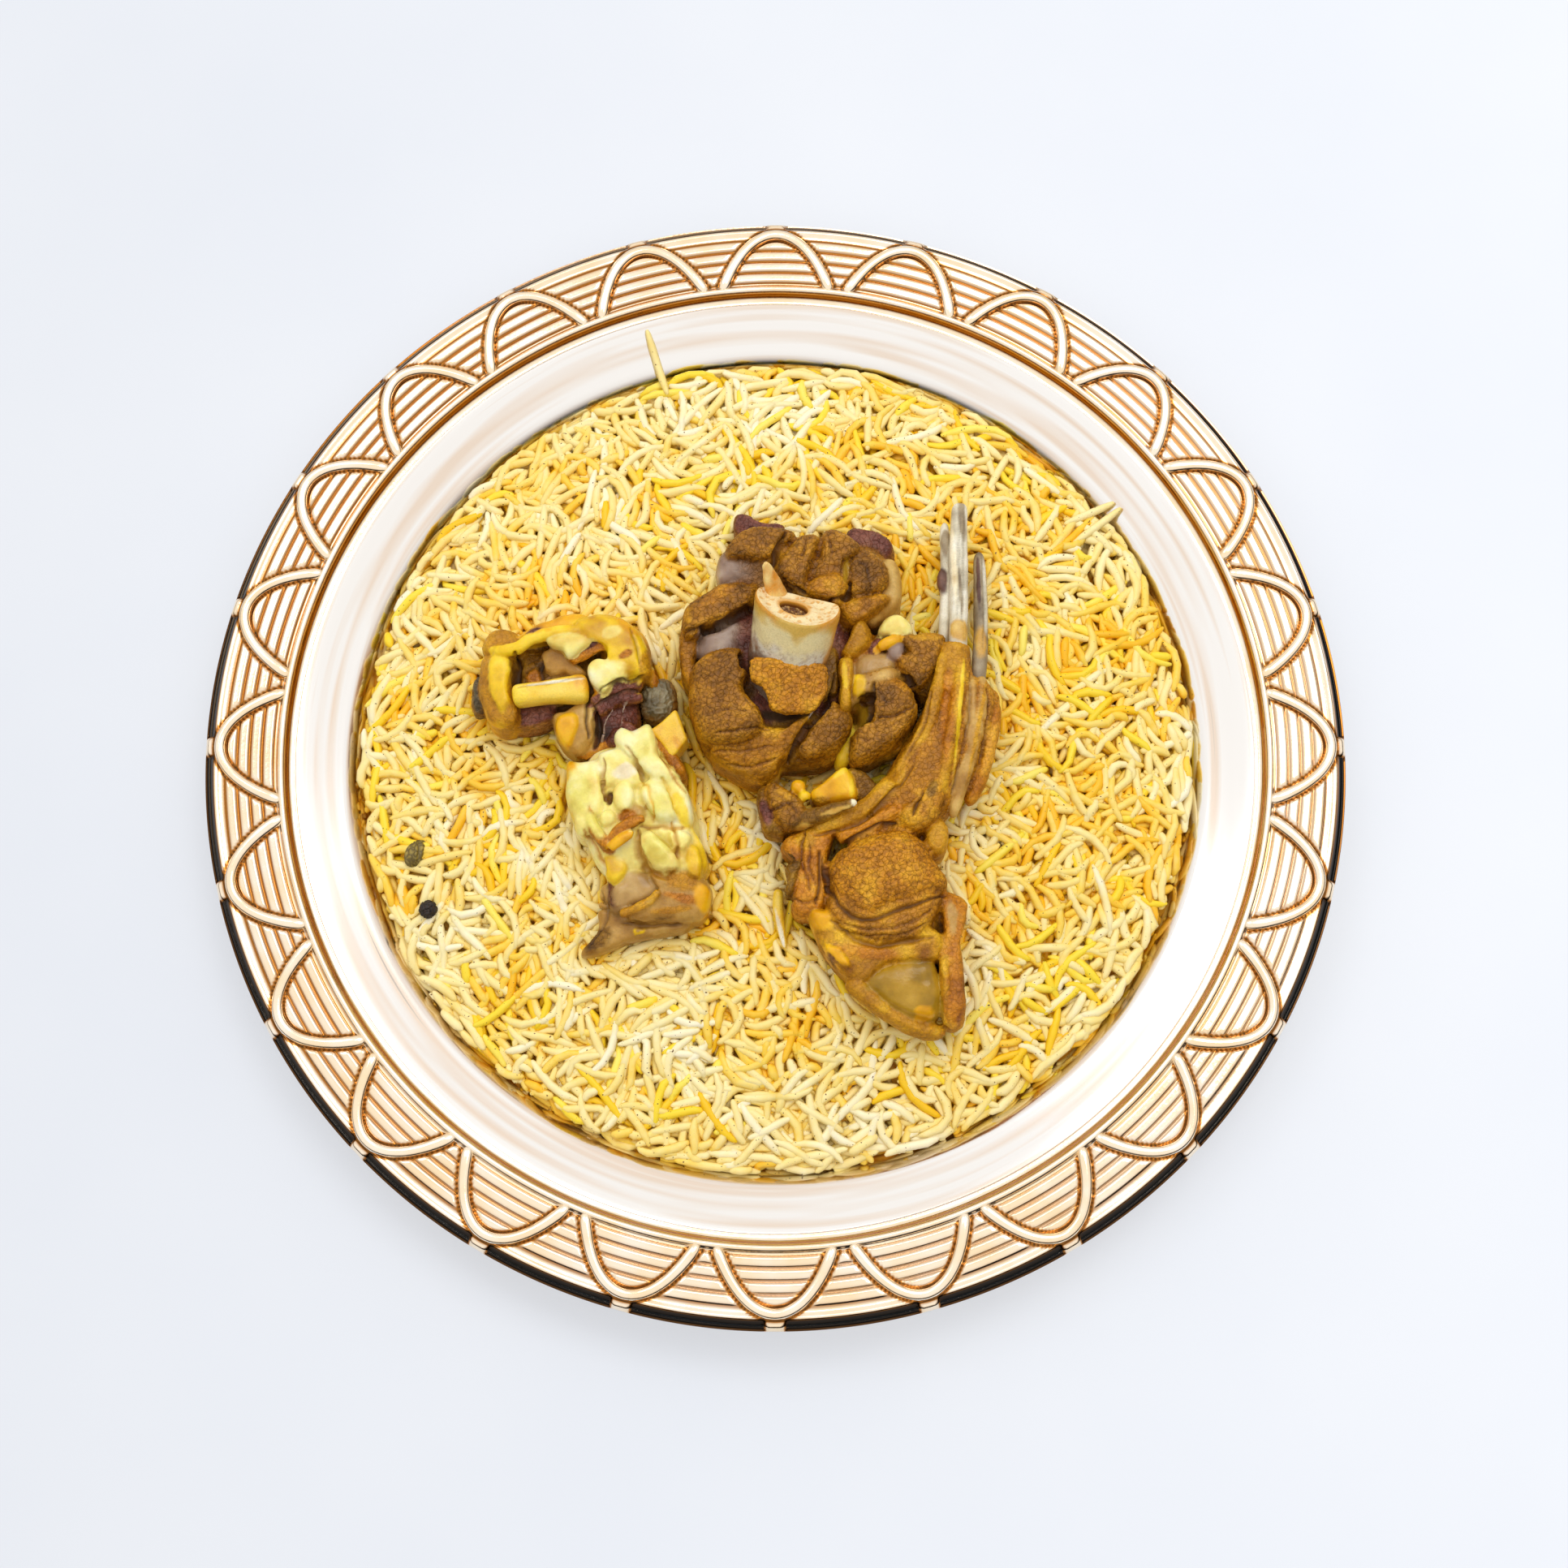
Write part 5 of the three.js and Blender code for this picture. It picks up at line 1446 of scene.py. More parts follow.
# The left joint: gold fat and skin wrapped round brown meat, torn open to its fibres on the right.
JOINT = Cut("joint_roast", "fatty_meat", ("joint_meat",), (
    Lump((-66, 18, 27), (20, 12, 9), T.UMBER),
    Lump((-50, 6, 28), (9, 12, 7), T.PLUM),
    Lump((-46, 24, 28), (8, 11, 12), T.CRUST),
    Slice("-88.6,24 -85,26 -81,24.4 -79,21.5 -79.4,16.5 -78.4,10.5 -77.2,6.5 -77.6,3 -82,1.6 -86,3.4 -88.4,8 "
        "-89.6,14 -89.4,20", 40.4, T.CRUST, (0.06, 0)),
    Slice("-86,23 -83.5,24.8 -80.8,23.5 -79.6,20 -80.2,14 -79.6,9 -82,6 -85.2,9.5 -86.6,16",
        42.0, T.GOLD_FAT, (0.03, 0), low=30),
    Lump((-90, 14, 27), (2.6, 6.5, 6), T.SPONGE, -4),
    Slice("-89,27 -86.5,32 -82.5,33 -79,32 -76.4,28 -78,24 -81,24 -87,24", 40.5, T.CRUST, (0, -0.1)),
    Slice("-78.5,29.5 -73,34 -68,36 -64,37.5 -57,37.5 -57,32 -66,30 -73,28.6", 41.0, T.AMBER, (0.02, -0.1)),
    Bar("-85,25,40.5,1.6,1.6 -78,25.5,42,1.8,1.8 -73,28.6,42.6,2,1.8 -66,30.6,42.6,2,1.8 -58,31,42.6,1.6,1.6",
        T.GOLD_FAT),
    Slice("-61,34 -56.5,36.5 -51,37 -46.3,35.4 -42,32 -39,27 -37.8,21 -37.8,17 -42,16.3 -46.5,16.8 -50.3,20 "
        "-51,25 -54.5,27 -58.5,29", 44.8, T.GOLD_FAT, (-0.05, -0.02)),
    Slice("-56.2,19.5 -53.5,22 -50,21.5 -46.5,21 -43.8,19.5 -44.6,15.4 -48,14.6 -51,11.2 -54.2,13.2 -55.8,15.8",
        45.0, T.PALE_FAT, (0, 0.1), 4.0, low=36),
    Slice("-68.6,27.8 -65,29.5 -60,29.7 -56,29 -55.4,26.5 -58.4,24.5 -61.8,22 -63.8,24.3 -66.8,25.6",
        44.8, T.PALE_FAT, (0, 0.05), 4.0, low=36),
    Slice("-40,24 -37,21 -34.8,16.5 -36.8,14.5 -39.6,17 -41,20", 37.4, T.RUST),
    Slice("-71,25.5 -67,27 -63,24.5 -59.3,21.8 -56.5,18 -61,17.4 -63.5,18.8 -67,18 -70.4,20",
        39.4, T.FASCIA, (0, 0.12)),
    Slice("-67,6.5 -63.5,7.5 -60.5,10 -57,11 -54.6,9.5 -54.4,4 -55,-1.5 -57.6,-5 -60.4,-5.6 -64,-3 -66.5,1",
        38.6, T.FASCIA, (-0.02, 0.1)),
    Slice("-65,5.4 -60.6,6.4 -59,3 -60.4,-1.4 -62,-4 -64.4,-2 -66,2", 39.8, T.AMBER, (0, 0.1), low=30),
    Slice("-80,9 -74.5,9.6 -67,9.8 -66,7 -68.5,5 -72,3.4 -76.5,2.8 -80.5,3.5", 35.4, T.PLUM),
    Bar("-55.5,9.5,38,1.7,2.2 -48,13.4,38.4,2,2.2 -40,15.6,37,1.6,2", T.PLUM),
    Bar("-54.6,12.5,39.6,1.4,1.6 -48,15.8,40,1.5,1.6 -41,18,38,1.3,1.5", T.RUST),
    Bar("-54.5,6.5,36,1.5,2 -48,10.6,36.6,1.7,2 -40,12,35.6,1.6,2", T.PLUM),
    Bar("-61.5,21.6,40.4,1.1,1.2 -56,24.2,41.6,1.3,1.2 -51,26.6,42,1.1,1", T.RUST),
    Bar("-61,23.6,41,1,1.1 -56.5,25.8,42,1.1,1.1 -52.5,28,42.4,0.9,1", T.PLUM),
    Bar("-58.5,-5.5,31,1.6,1.8 -54,-2.6,32,1.9,2 -48,-2.4,32,1.8,2", T.RUST),
    Bar("-48.5,8,37.4,0.35,0.35 -51,4,37.6,0.3,0.3 -51.6,0.5,36.4,0.35,0.35 -52.6,-1.8,34.6,0.4,0.4",
        T.MEMBRANE),
    Bar("-45.5,9.4,37,0.35,0.35 -46,6.4,36.6,0.3,0.3 -46.6,3,35,0.35,0.35", T.MEMBRANE),
    Bar("-54,9,38,0.35,0.35 -55,5,38.2,0.3,0.3", T.MEMBRANE),
    Bar("-50,1,33.5,3,4 -46,-1,32,3.5,5 -43,4,32,3,5", T.PLUM),
), (
    Patch((-75, 20.5), (4.4, 5.5), T.UMBER, 16, below=41),
    Patch((-73, 18), (2.4, 2.4), T.RUST, 0, rise=0.6),
    Patch((-50, 6), (4.5, 4.5), T.PLUM, 0, below=36),
    Patch((-52, 2), (2.6, 3), T.SHADOW, below=35),
    Patch((-73, 31), (3, 1.6), T.PLUM, 20),
    Patch((-44, 33), (6, 3), T.AMBER, -35),
    Patch((-39, 20), (2, 6), T.CRUST),
    Patch((-49, 30), (3, 2), T.PALE_FAT, 20, above=40),
    Patch((-85, 5), (4, 3), T.AMBER, -20, below=38),
    Patch((-82, 29), (4, 2.4), T.CRUST, 10),
    Patch((-45, 23), (2.4, 1.2), T.RUST, 24),
), (
    Seam("-78,24 -78.2,18 -77.8,11", 0.9, 2.4, T.SHADOW),
    Seam("-70.6,23.6 -71.4,20 -70.5,17", 0.7, 1.4, T.SHADOW),
    Seam("-56.6,12.4 -56.8,6 -56,-1", 0.6, 1.2, T.SHADOW),
    Seam("-54.6,8 -53.4,3 -54,-3", 0.9, 2.2, T.SHADOW),
    Seam("-66,8.6 -62,9.4 -58,12", 0.7, 1.6, T.SHADOW),
    Seam("-53,12 -47,14.8 -40,16.8", 0.4, 0.9, T.SHADOW),
    Seam("-54,8.4 -47,12 -39.6,13.8", 0.4, 0.9, T.SHADOW),
    Seam("-44,31 -41.5,26 -40.5,20", 0.5, 0.6),
), broad=0.6, seed=51)


# The slab below the joint: pale fat in soft lobes, rusty tissue between them and a torn skin at its foot.
SLAB = Cut("slab_roast", "yellow_fat", ("slab_meat",), (
    Lump((-44.5, -22, 28), (14, 22, 11), T.PALE_FAT, 8),
    Lump((-31, -30, 27.5), (8.5, 20, 11), T.PALE_FAT, 12),
    Lump((-37, -48, 25), (13, 8, 6), T.FASCIA, 6),
    Slice("-62.4,-8 -58.5,-8.2 -53.5,-7.6 -51.5,-11.5 -51,-16 -50.6,-21.5 -52,-25.5 -55,-24 -55.6,-31 "
        "-58.4,-31.5 -60.6,-26 -62.6,-19.5 -62.6,-13", 40.2, T.PALE_FAT, (0.05, 0)),
    Slice("-53.4,-6.6 -50.5,-5 -47,-4.6 -43.8,-7 -41.5,-10.5 -39,-14 -40.5,-17.4 -45,-16 -49,-17 -51.4,-17 "
        "-52.6,-11.5", 41.2, T.PALE_FAT, (0, 0.03)),
    Slice("-48.8,-1 -46.8,2 -44,0.6 -42,1.2 -38.2,3 -35.8,-2 -34.8,-7 -31.8,-10.5 -28.2,-15 -34,-16.5 "
        "-39,-12.5 -43,-9 -47,-5", 42.4, T.PALE_FAT, (-0.04, -0.04)),
    Slice("-36.5,-6 -31.5,-10.5 -27.4,-15.5 -25.2,-20 -24.2,-27.5 -27.5,-29 -31,-25 -33.5,-18.5 -36,-13",
        40.6, T.PALE_FAT, (-0.06, 0)),
    Slice("-48.2,-20.5 -48.2,-17.4 -46,-15.3 -43.3,-15.4 -42.2,-19 -42.4,-22.2 -44.5,-24.6 -47.2,-23.5",
        42.0, T.PALE_FAT, low=34),
    Slice("-39.8,-16 -37,-14 -33.3,-15.5 -29.5,-20.5 -28.3,-25.5 -31.3,-28 -35,-27.2 -38.4,-23 -40.4,-19.5",
        42.2, T.PALE_FAT, (-0.03, 0)),
    Slice("-43.5,-21 -39,-22.5 -38,-26 -43,-28 -47.2,-27.4 -46.4,-24.2", 39.6, T.FASCIA),
    Slice("-41.6,-32 -38,-29.2 -35,-31.5 -31,-35 -28,-38.5 -28.6,-42 -32.5,-43 -36.5,-41.6 -40.5,-38",
        41.0, T.PALE_FAT),
    Slice("-32,-30 -27,-29.8 -24.6,-32 -26.6,-36 -30.4,-35.6", 40.0, T.PALE_FAT),
    Slice("-26,-34 -23.4,-33.8 -21.6,-38 -22.2,-44 -25.6,-44 -27,-39", 38.6, T.GOLD_FAT),
    Slice("-26.6,-23 -24,-29 -21.2,-34 -20,-40 -22.4,-42 -25,-34 -27.6,-28", 36.4, T.GOLD_FAT),
    Slice("-51.6,-25.4 -49.4,-24 -47.6,-25.6 -48.4,-28 -51,-28.4", 40.6, T.PALE_FAT, low=33),
    Bar("-49,-34.6,38,1.6,2 -47,-30.5,39.6,1.6,2 -43,-28,40.4,1.7,1.8 -38.6,-26.6,40.6,1.4,1.6", T.RUST),
    Bar("-55.4,-22.5,37,1.4,3 -54.8,-27.5,37.6,1.7,3 -52,-32,38,1.9,3 -49,-35,37.4,1.8,2.6", T.RUST),
    Bar("-49,-35.8,40,1.3,1.2 -45.4,-33.2,41.2,1.7,1.3 -41.6,-31.2,41,1.2,1.1", T.AMBER),
    Slice("-51.4,-37.5 -49,-35.6 -46,-37 -43.6,-39.4 -44.2,-42.4 -47.5,-45.5 -50,-44 -50.6,-41",
        37.0, T.GOLD_FAT),
    Slice("-45,-39.6 -40,-40.4 -36,-43.4 -34,-47 -37.6,-50 -42.5,-51.8 -47,-53.8 -49.6,-51.8 -49,-46.5 -46,-44",
        35.4, T.FILM, (0, 0.05), 4.0),
    Slice("-38,-41 -31.5,-40.4 -24.5,-41.4 -19.2,-46 -19.4,-51 -22,-55.6 -28.5,-56.8 -36,-56.4 -42,-57 "
        "-44,-53.6 -38,-51 -34.3,-48.5", 36.8, T.FASCIA, (0, 0.08)),
    Slice("-52,-44.5 -49,-50 -44,-55.5 -36.5,-54.5 -25,-55 -26.6,-58 -32,-59.2 -38,-60.2 -43.5,-61.4 -49,-63.6 "
        "-55,-65.4 -58.4,-65.4 -56.8,-62.4 -53,-57.5 -53,-51.5", 30.0, T.FASCIA, (0.08, 0.08)),
    Bar("-46,-54.5,34,1.3,1.6 -41,-53,35.6,1.4,1.6 -36.6,-50.4,36.6,1.3,1.5 -34.4,-47.6,37,1.1,1.3", T.CRUST),
    Slice("-36.5,-0.5 -32,-4 -28,-8.6 -26.8,-12.6 -30,-12 -34,-6.5", 37.8, T.RUST),
    Lump((-40.5, -58.4, 29.6), (2, 1, 1), T.GOLD_FAT, 14),
), (
    Patch((-49.6, -20), (1.1, 2), T.UMBER, rise=-1.2),
    Patch((-44.6, -12.4), (4, 2.6), T.IVORY, 10),
    Patch((-37.4, -22.8), (1.6, 1), T.RUST, 10),
    Patch((-44, -25.4), (3.4, 2), T.RUST, 6),
    Patch((-60.6, -14), (2.2, 7), T.AMBER, 4),
    Patch((-48, -48), (2.4, 5), T.PLUM, 10, below=34),
    Patch((-28, -45), (7, 3), T.CRUST, -10),
    Patch((-27, -50), (8, 1.4), T.RUST, -12),
    Patch((-31, -53.5), (7, 1.2), T.CRUST, 6),
    Patch((-21.5, -50), (2.6, 5), T.AMBER, 10),
    Patch((-33, -54), (8, 2), T.UMBER, 4, below=35),
    Patch((-53, -61), (5, 3), T.UMBER, 36),
    Patch((-28, -24), (2, 6), T.GOLD_FAT, 20),
    Patch((-58.5, -18), (3.6, 8), T.GREEN_FAT, 6),
    Patch((-35, -21), (4, 6.5), T.GREEN_FAT, 20),
    Patch((-34.5, -36), (4.6, 4.6), T.GREEN_FAT, 10),
    Patch((-40, -6), (2.6, 5), T.GREEN_FAT, -30),
    Patch((-53.5, -28.5), (2.2, 5), T.GREEN_FAT, 30),
), (
    Seam("-51.4,-8 -51.6,-14 -50.6,-21", 0.6, 1.0, T.FASCIA),
    Seam("-40.6,-29.6 -41,-36 -37,-42 -31.6,-43.8", 0.8, 1.2, T.CRUST),
    Seam("-30.6,-27.6 -29.6,-33 -28.2,-38", 0.7, 1.0, T.CRUST),
    Seam("-33.6,-14 -31,-20 -28.4,-26", 0.6, 0.8, T.GOLD_FAT),
    Seam("-40,-28.6 -33,-29 -27,-29", 0.7, 1.0, T.CRUST),
    Seam("-45,-5 -41,-10 -39.5,-15", 0.6, 1.0, T.FASCIA),
    Seam("-39.8,-15 -37,-19.5 -36,-27", 0.45, 0.5, T.AMBER),
    Seam("-57,-30 -52.5,-36 -50,-42", 0.6, 0.5, T.RUST),
    Seam("-34.6,-8 -30.5,-13.5 -26.5,-19", 0.5, 0.4, T.RUST),
    Seam("-52,-46 -50,-54 -55,-62", 0.5, 0.7),
    Seam("-46,-56 -38,-57.4 -28,-57", 0.5, 0.8, T.UMBER),
), broad=0.5, crack_depth=0.3, seed=67)


# ---------------------------------------------------------------------------------------------- bones


@dataclass(frozen=True)
class BoiledBone:
    """Bone boiled in the stock: smooth and waxy where whole, chalky where sawn, stained by fat and spice."""

    name: str = "boiled_lamb_bone"
    fleck: str = "#8a5a28"
    pore: float = 0.55

    def build(self) -> bpy.types.Material:
        """The painted tint of its stains, mottled at the pores' size, with rare brown flecks."""
        if self.name in bpy.data.materials:
            return bpy.data.materials[self.name]
        mix = recipe(self.name)
        pore = mix.noise(self.pore, 2.0)
        stained = mix.scaled(mix.painted("tint", "Color"), mix.ranged(pore, (0.3, 0.7), (0.9, 1.08)))
        return mix.closed(
            {
                "Base Color": mix.blend(mix.ranged(pore, (0.68, 0.78)), stained, self.fleck),
                "Roughness": mix.painted("gloss"),
                "Subsurface Weight": 0.12,
                "Subsurface Radius": (1.0, 0.7, 0.4),
                "Subsurface Scale": 0.002,
                "Normal": mix.bump(pore, 0.3, 0.0003),
            }
        )


SIDE, FACE, HOLE = range(3)  # the parts of the sawn bone's skin


@dataclass
class MarrowBone:
    """The sawn leg bone that stands in the shank, leaning back, with its marrow and a splinter behind it."""

    top: tuple[float, float, float] = (6.7, 33.6, 55.8)
    lean: float = 41.0
    half: tuple[float, float] = (12.6, 9.0)
    square: float = 2.2
    length: float = 46.0
    hole: tuple[float, float] = (4.4, 3.9)
    hole_at: tuple[float, float] = (-1.2, 0.0)
    marrow_depth: float = 2.0
    bend: tuple[float, float] = (-0.2, 0.017)
    columns: int = 200

    def placed(self, across: np.ndarray, over: np.ndarray, down: np.ndarray) -> np.ndarray:
        """Places from the bone's own measures: sideways, towards its upper back, and down from the cut."""
        back, fall = math.sin(math.radians(self.lean)), math.cos(math.radians(self.lean))
        x, y, z = self.top
        narrow = 1 - 0.011 * np.clip(down - 3, 0, None) * (across > 0)
        bent = self.bend[0] * across + self.bend[1] * across**2
        return np.stack([x + across * narrow - 0.09 * down, y + bent + over * fall - down * back,
                         z - over * back - down * fall], -1)

    def outline(self, angle: np.ndarray) -> np.ndarray:
        """(columns, 2) of the cut's outline: a superellipse, flatter behind and drawn out to the left."""
        power = 2 / self.square
        across = self.half[0] * np.sign(np.cos(angle)) * np.abs(np.cos(angle)) ** power
        over = self.half[1] * np.sign(np.sin(angle)) * np.abs(np.sin(angle)) ** power
        over = np.where(over > 0, 0.9 * over - 0.12 * across * (over / self.half[1]), over)
        return np.stack([across, over], -1)

    def wall(self) -> Surface:
        """The bone: its wall from below up to the cut, over the cut's face, and down into the marrow's hole.

        The wall swells to its foot and is uneven by slow noise; the face sinks a little between its outer edge
        and the hole, and is pitted where the bone is spongy.
        """
        angle = np.linspace(0, 2 * math.pi, self.columns, endpoint=False)
        edge = self.outline(angle)
        inner = self.hole_at + np.stack([self.hole[0] * np.cos(angle), self.hole[1] * np.sin(angle)], -1)
        rows, downs, kinds = [], [], []
        for down in np.concatenate([np.linspace(self.length, 1.2, 84), [0.8, 0.45, 0.2, 0.05]]):
            swell = 1 + 0.05 * (down / 30) ** 2 - 0.03 * math.exp(-(down**2) / 0.25)
            rows.append(edge * swell)
            downs.append(down)
            kinds.append(SIDE)
        for share in np.linspace(0.03, 1, 26):
            rows.append(edge * 0.97 * (1 - share) + inner * share)
            downs.append(0.02 + 0.5 * math.sin(math.pi * min(share, 1)) ** 2)
            kinds.append(FACE)
        for down in np.linspace(0.4, self.marrow_depth + 2.5, 9):
            rows.append(self.hole_at + (inner - self.hole_at) * (0.97 - 0.02 * down))
            downs.append(down)
            kinds.append(HOLE)
        plan = np.array(rows)
        depth = np.repeat(np.array(downs)[:, None], self.columns, 1)
        tube = capped_tube(self.placed(plan[..., 0], plan[..., 1], depth))
        kind = np.concatenate([np.repeat(kinds, self.columns), [SIDE, HOLE]])
        depth = np.concatenate([depth.ravel(), [self.length, self.marrow_depth + 2.5]])
        across = np.concatenate([plan[..., 0].ravel(), [0, 0]])
        over = np.concatenate([plan[..., 1].ravel(), [0, 0]])
        tube = outward(tube)
        normals = point_normals(tube.points, tube.quads)
        slow = soft_noise(tube.points, 5.0, 301, 3)
        fine = soft_noise(tube.points, 1.3, 302, 2)
        cell, own = crack_noise(tube.points, (1.5, 1.5, 1.5), 303)
        face = kind == FACE
        pits = (own < 0.42) * ease(cell, 0.05, 0.4) * face
        lift = 0.28 * slow + 0.07 * fine - 0.3 * pits
        lift *= np.where(kind == HOLE, 0.3, 1)
        tube.points += normals * lift[:, None]
        tube.points[:, 2] = np.maximum(tube.points[:, 2], SEAT - 0.5)
        colours = ("#f2dca8", "#dca656", "#dc9a34", "#ecdca4", "#dcd4c0", "#8c5a26", "#dcb658", "#6e3c14")
        chalk, straw, amber, cream, ash, umber, tan, rust = (np.array(linear(code)) for code in colours)
        tint = np.tile(cream, (len(kind), 1))
        place = across / self.half[0]
        front = (over < 0) | (np.abs(place) > 0.8)

        def blend(tint: np.ndarray, other: np.ndarray, amount: np.ndarray) -> np.ndarray:
            """The tint, or as much of the other one as the amount says."""
            return tint + (other - tint) * np.clip(amount, 0, 1)[:, None]

        cloud = soft_noise(tube.points, 4.0, 305, 3)
        tint = blend(tint, ash, ease(depth + 5 * cloud, 8, 14))
        speckle = ease(soft_noise(tube.points, 0.8, 306, 2), 0.1, 0.4) * ease(depth + 4 * cloud, 7, 14)
        tint = blend(tint, umber, 0.45 * speckle)
        tongue = 3.5 * np.exp(-(((place - 0.05) / 0.28) ** 2)) + 3 * ease(np.abs(place), 0.6, 0.95)
        tint = blend(tint, tan, (1 - ease(depth + 3 * cloud, 1 + tongue, 4 + tongue)) * front)
        ends = ease(np.abs(place) + 0.3 * cloud, 0.3, 0.7)
        tint = blend(tint, amber, (1 - ease(depth + 2 * cloud, 0.8, 3.4)) * ends)
        tint = blend(tint, amber, ease(place + 0.3 * cloud, 0.72, 0.95) * 0.85)
        # painted shadow down the wall's left end, below the cut
        tint = blend(tint, umber, ease(-place + 0.3 * cloud, 0.8, 1.0) * ease(depth, 5, 10) * 0.8)
        tint = blend(tint, umber, 0.8 * ease(over + 1.5 * cloud, 3, 6) * ease(depth, 2, 6))
        tint = blend(tint, rust, 0.7 * ease(depth + 3 * cloud, 15, 18))
        hub = np.hypot((across - self.hole_at[0]) / self.hole[0], (over - self.hole_at[1]) / self.hole[1])
        cut = blend(np.tile(chalk, (len(kind), 1)), straw, 0.8 * pits + 0.5 * ease(cloud, 0.1, 0.45))
        cut = blend(cut, amber, 0.75 * (1 - ease(hub, 1.03, 1.3)))
        edge = np.max(np.abs(np.stack([place, over / self.half[1]])), axis=0)
        cut = blend(cut, amber, 0.7 * ease(edge, 0.93, 1.0))
        tint = np.where(face[:, None], cut, tint)
        # painted shade: the hole's wall darkens with depth
        hole = blend(np.tile(amber, (len(kind), 1)), rust, ease(depth, 0.3, 1.6))
        tint = np.where((kind == HOLE)[:, None], hole, tint)
        tube.paint = {"tint": tint, "gloss": np.where(face, 0.5, 0.26)}
        return tube

    def marrow(self) -> Surface:
        """The marrow: a plug in the hole with a crumbled top."""
        angle = np.linspace(0, 2 * math.pi, 80, endpoint=False)
        shares = np.concatenate([np.full(6, 0.94), np.linspace(0.92, 0.04, 24)])
        sunk = np.linspace(self.length - 4, self.marrow_depth + 0.4, 6)
        downs = np.concatenate([sunk, np.full(24, self.marrow_depth)])
        across = self.hole_at[0] + shares[:, None] * self.hole[0] * np.cos(angle)
        over = self.hole_at[1] + shares[:, None] * self.hole[1] * np.sin(angle)
        down = np.repeat(downs[:, None], len(angle), 1)
        flat = np.stack([across.ravel(), over.ravel(), 0 * across.ravel()], -1)
        inside, own = crack_noise(flat, (1.1, 1.1, 1.1), 311)
        crumb = (0.9 * (own - 0.5) - 0.7 * (1 - ease(inside, 0, 0.3))).reshape(across.shape)
        down = down - crumb * (np.arange(30) > 6)[:, None]
        tube = capped_tube(self.placed(across, over, down))
        tube.points[:, 2] = np.maximum(tube.points[:, 2], SEAT - 0.4)
        own = np.concatenate([own, [0.5, 0.5]])
        inside = np.concatenate([inside, [0.5, 0.5]])
        dark, light = np.array(linear("#6a3a14")), np.array(linear("#d8aa60"))
        tint = dark + (light - dark) * np.clip(own * ease(inside, 0, 0.4), 0, 1)[:, None]
        tube.paint = {"tint": tint, "gloss": np.full(len(tint), 0.35)}
        return outward(tube)

    def splinter(self) -> Surface:
        """The splinter of bone and fat that stands behind the bone's left end."""
        line = ("1.4,37,46,3.8,2.4 0.2,40,51,3.2,2.2 -1.3,43,55.6,2.4,1.8 -2.5,45.6,59,1.3,1 "
                "-2.8,46.4,60.2,0.5,0.5")
        rows = smooth_path(drawn(line), 40)
        rings = swept(rows[:, :3], rows[:, 3], rows[:, 4], 28, 2.2)
        surface = outward(capped_tube(rings))
        normals = point_normals(surface.points, surface.quads)
        noise = soft_noise(surface.points, 2.4, 331, 3)
        surface.points += 0.35 * normals * noise[:, None]
        amber, pale = np.array(linear("#dd8f1c")), np.array(linear("#f6d98c"))
        tint = amber + (pale - amber) * np.clip(0.5 + 0.9 * noise, 0, 1)[:, None]
        surface.paint = {"tint": tint, "gloss": np.full(len(tint), 0.35)}
        return surface

    def build(self) -> None:
        """Makes the bone, its splinter and the marrow."""
        settle("marrow_bone_wall", self.wall(), BoiledBone(), ["marrow_bone"])
        settle("marrow_bone_splinter", self.splinter(), BoiledBone(), ["marrow_bone"])
        settle("marrow_plug", self.marrow(), BoiledBone(), ["marrow"])


BONE = BoiledBone()
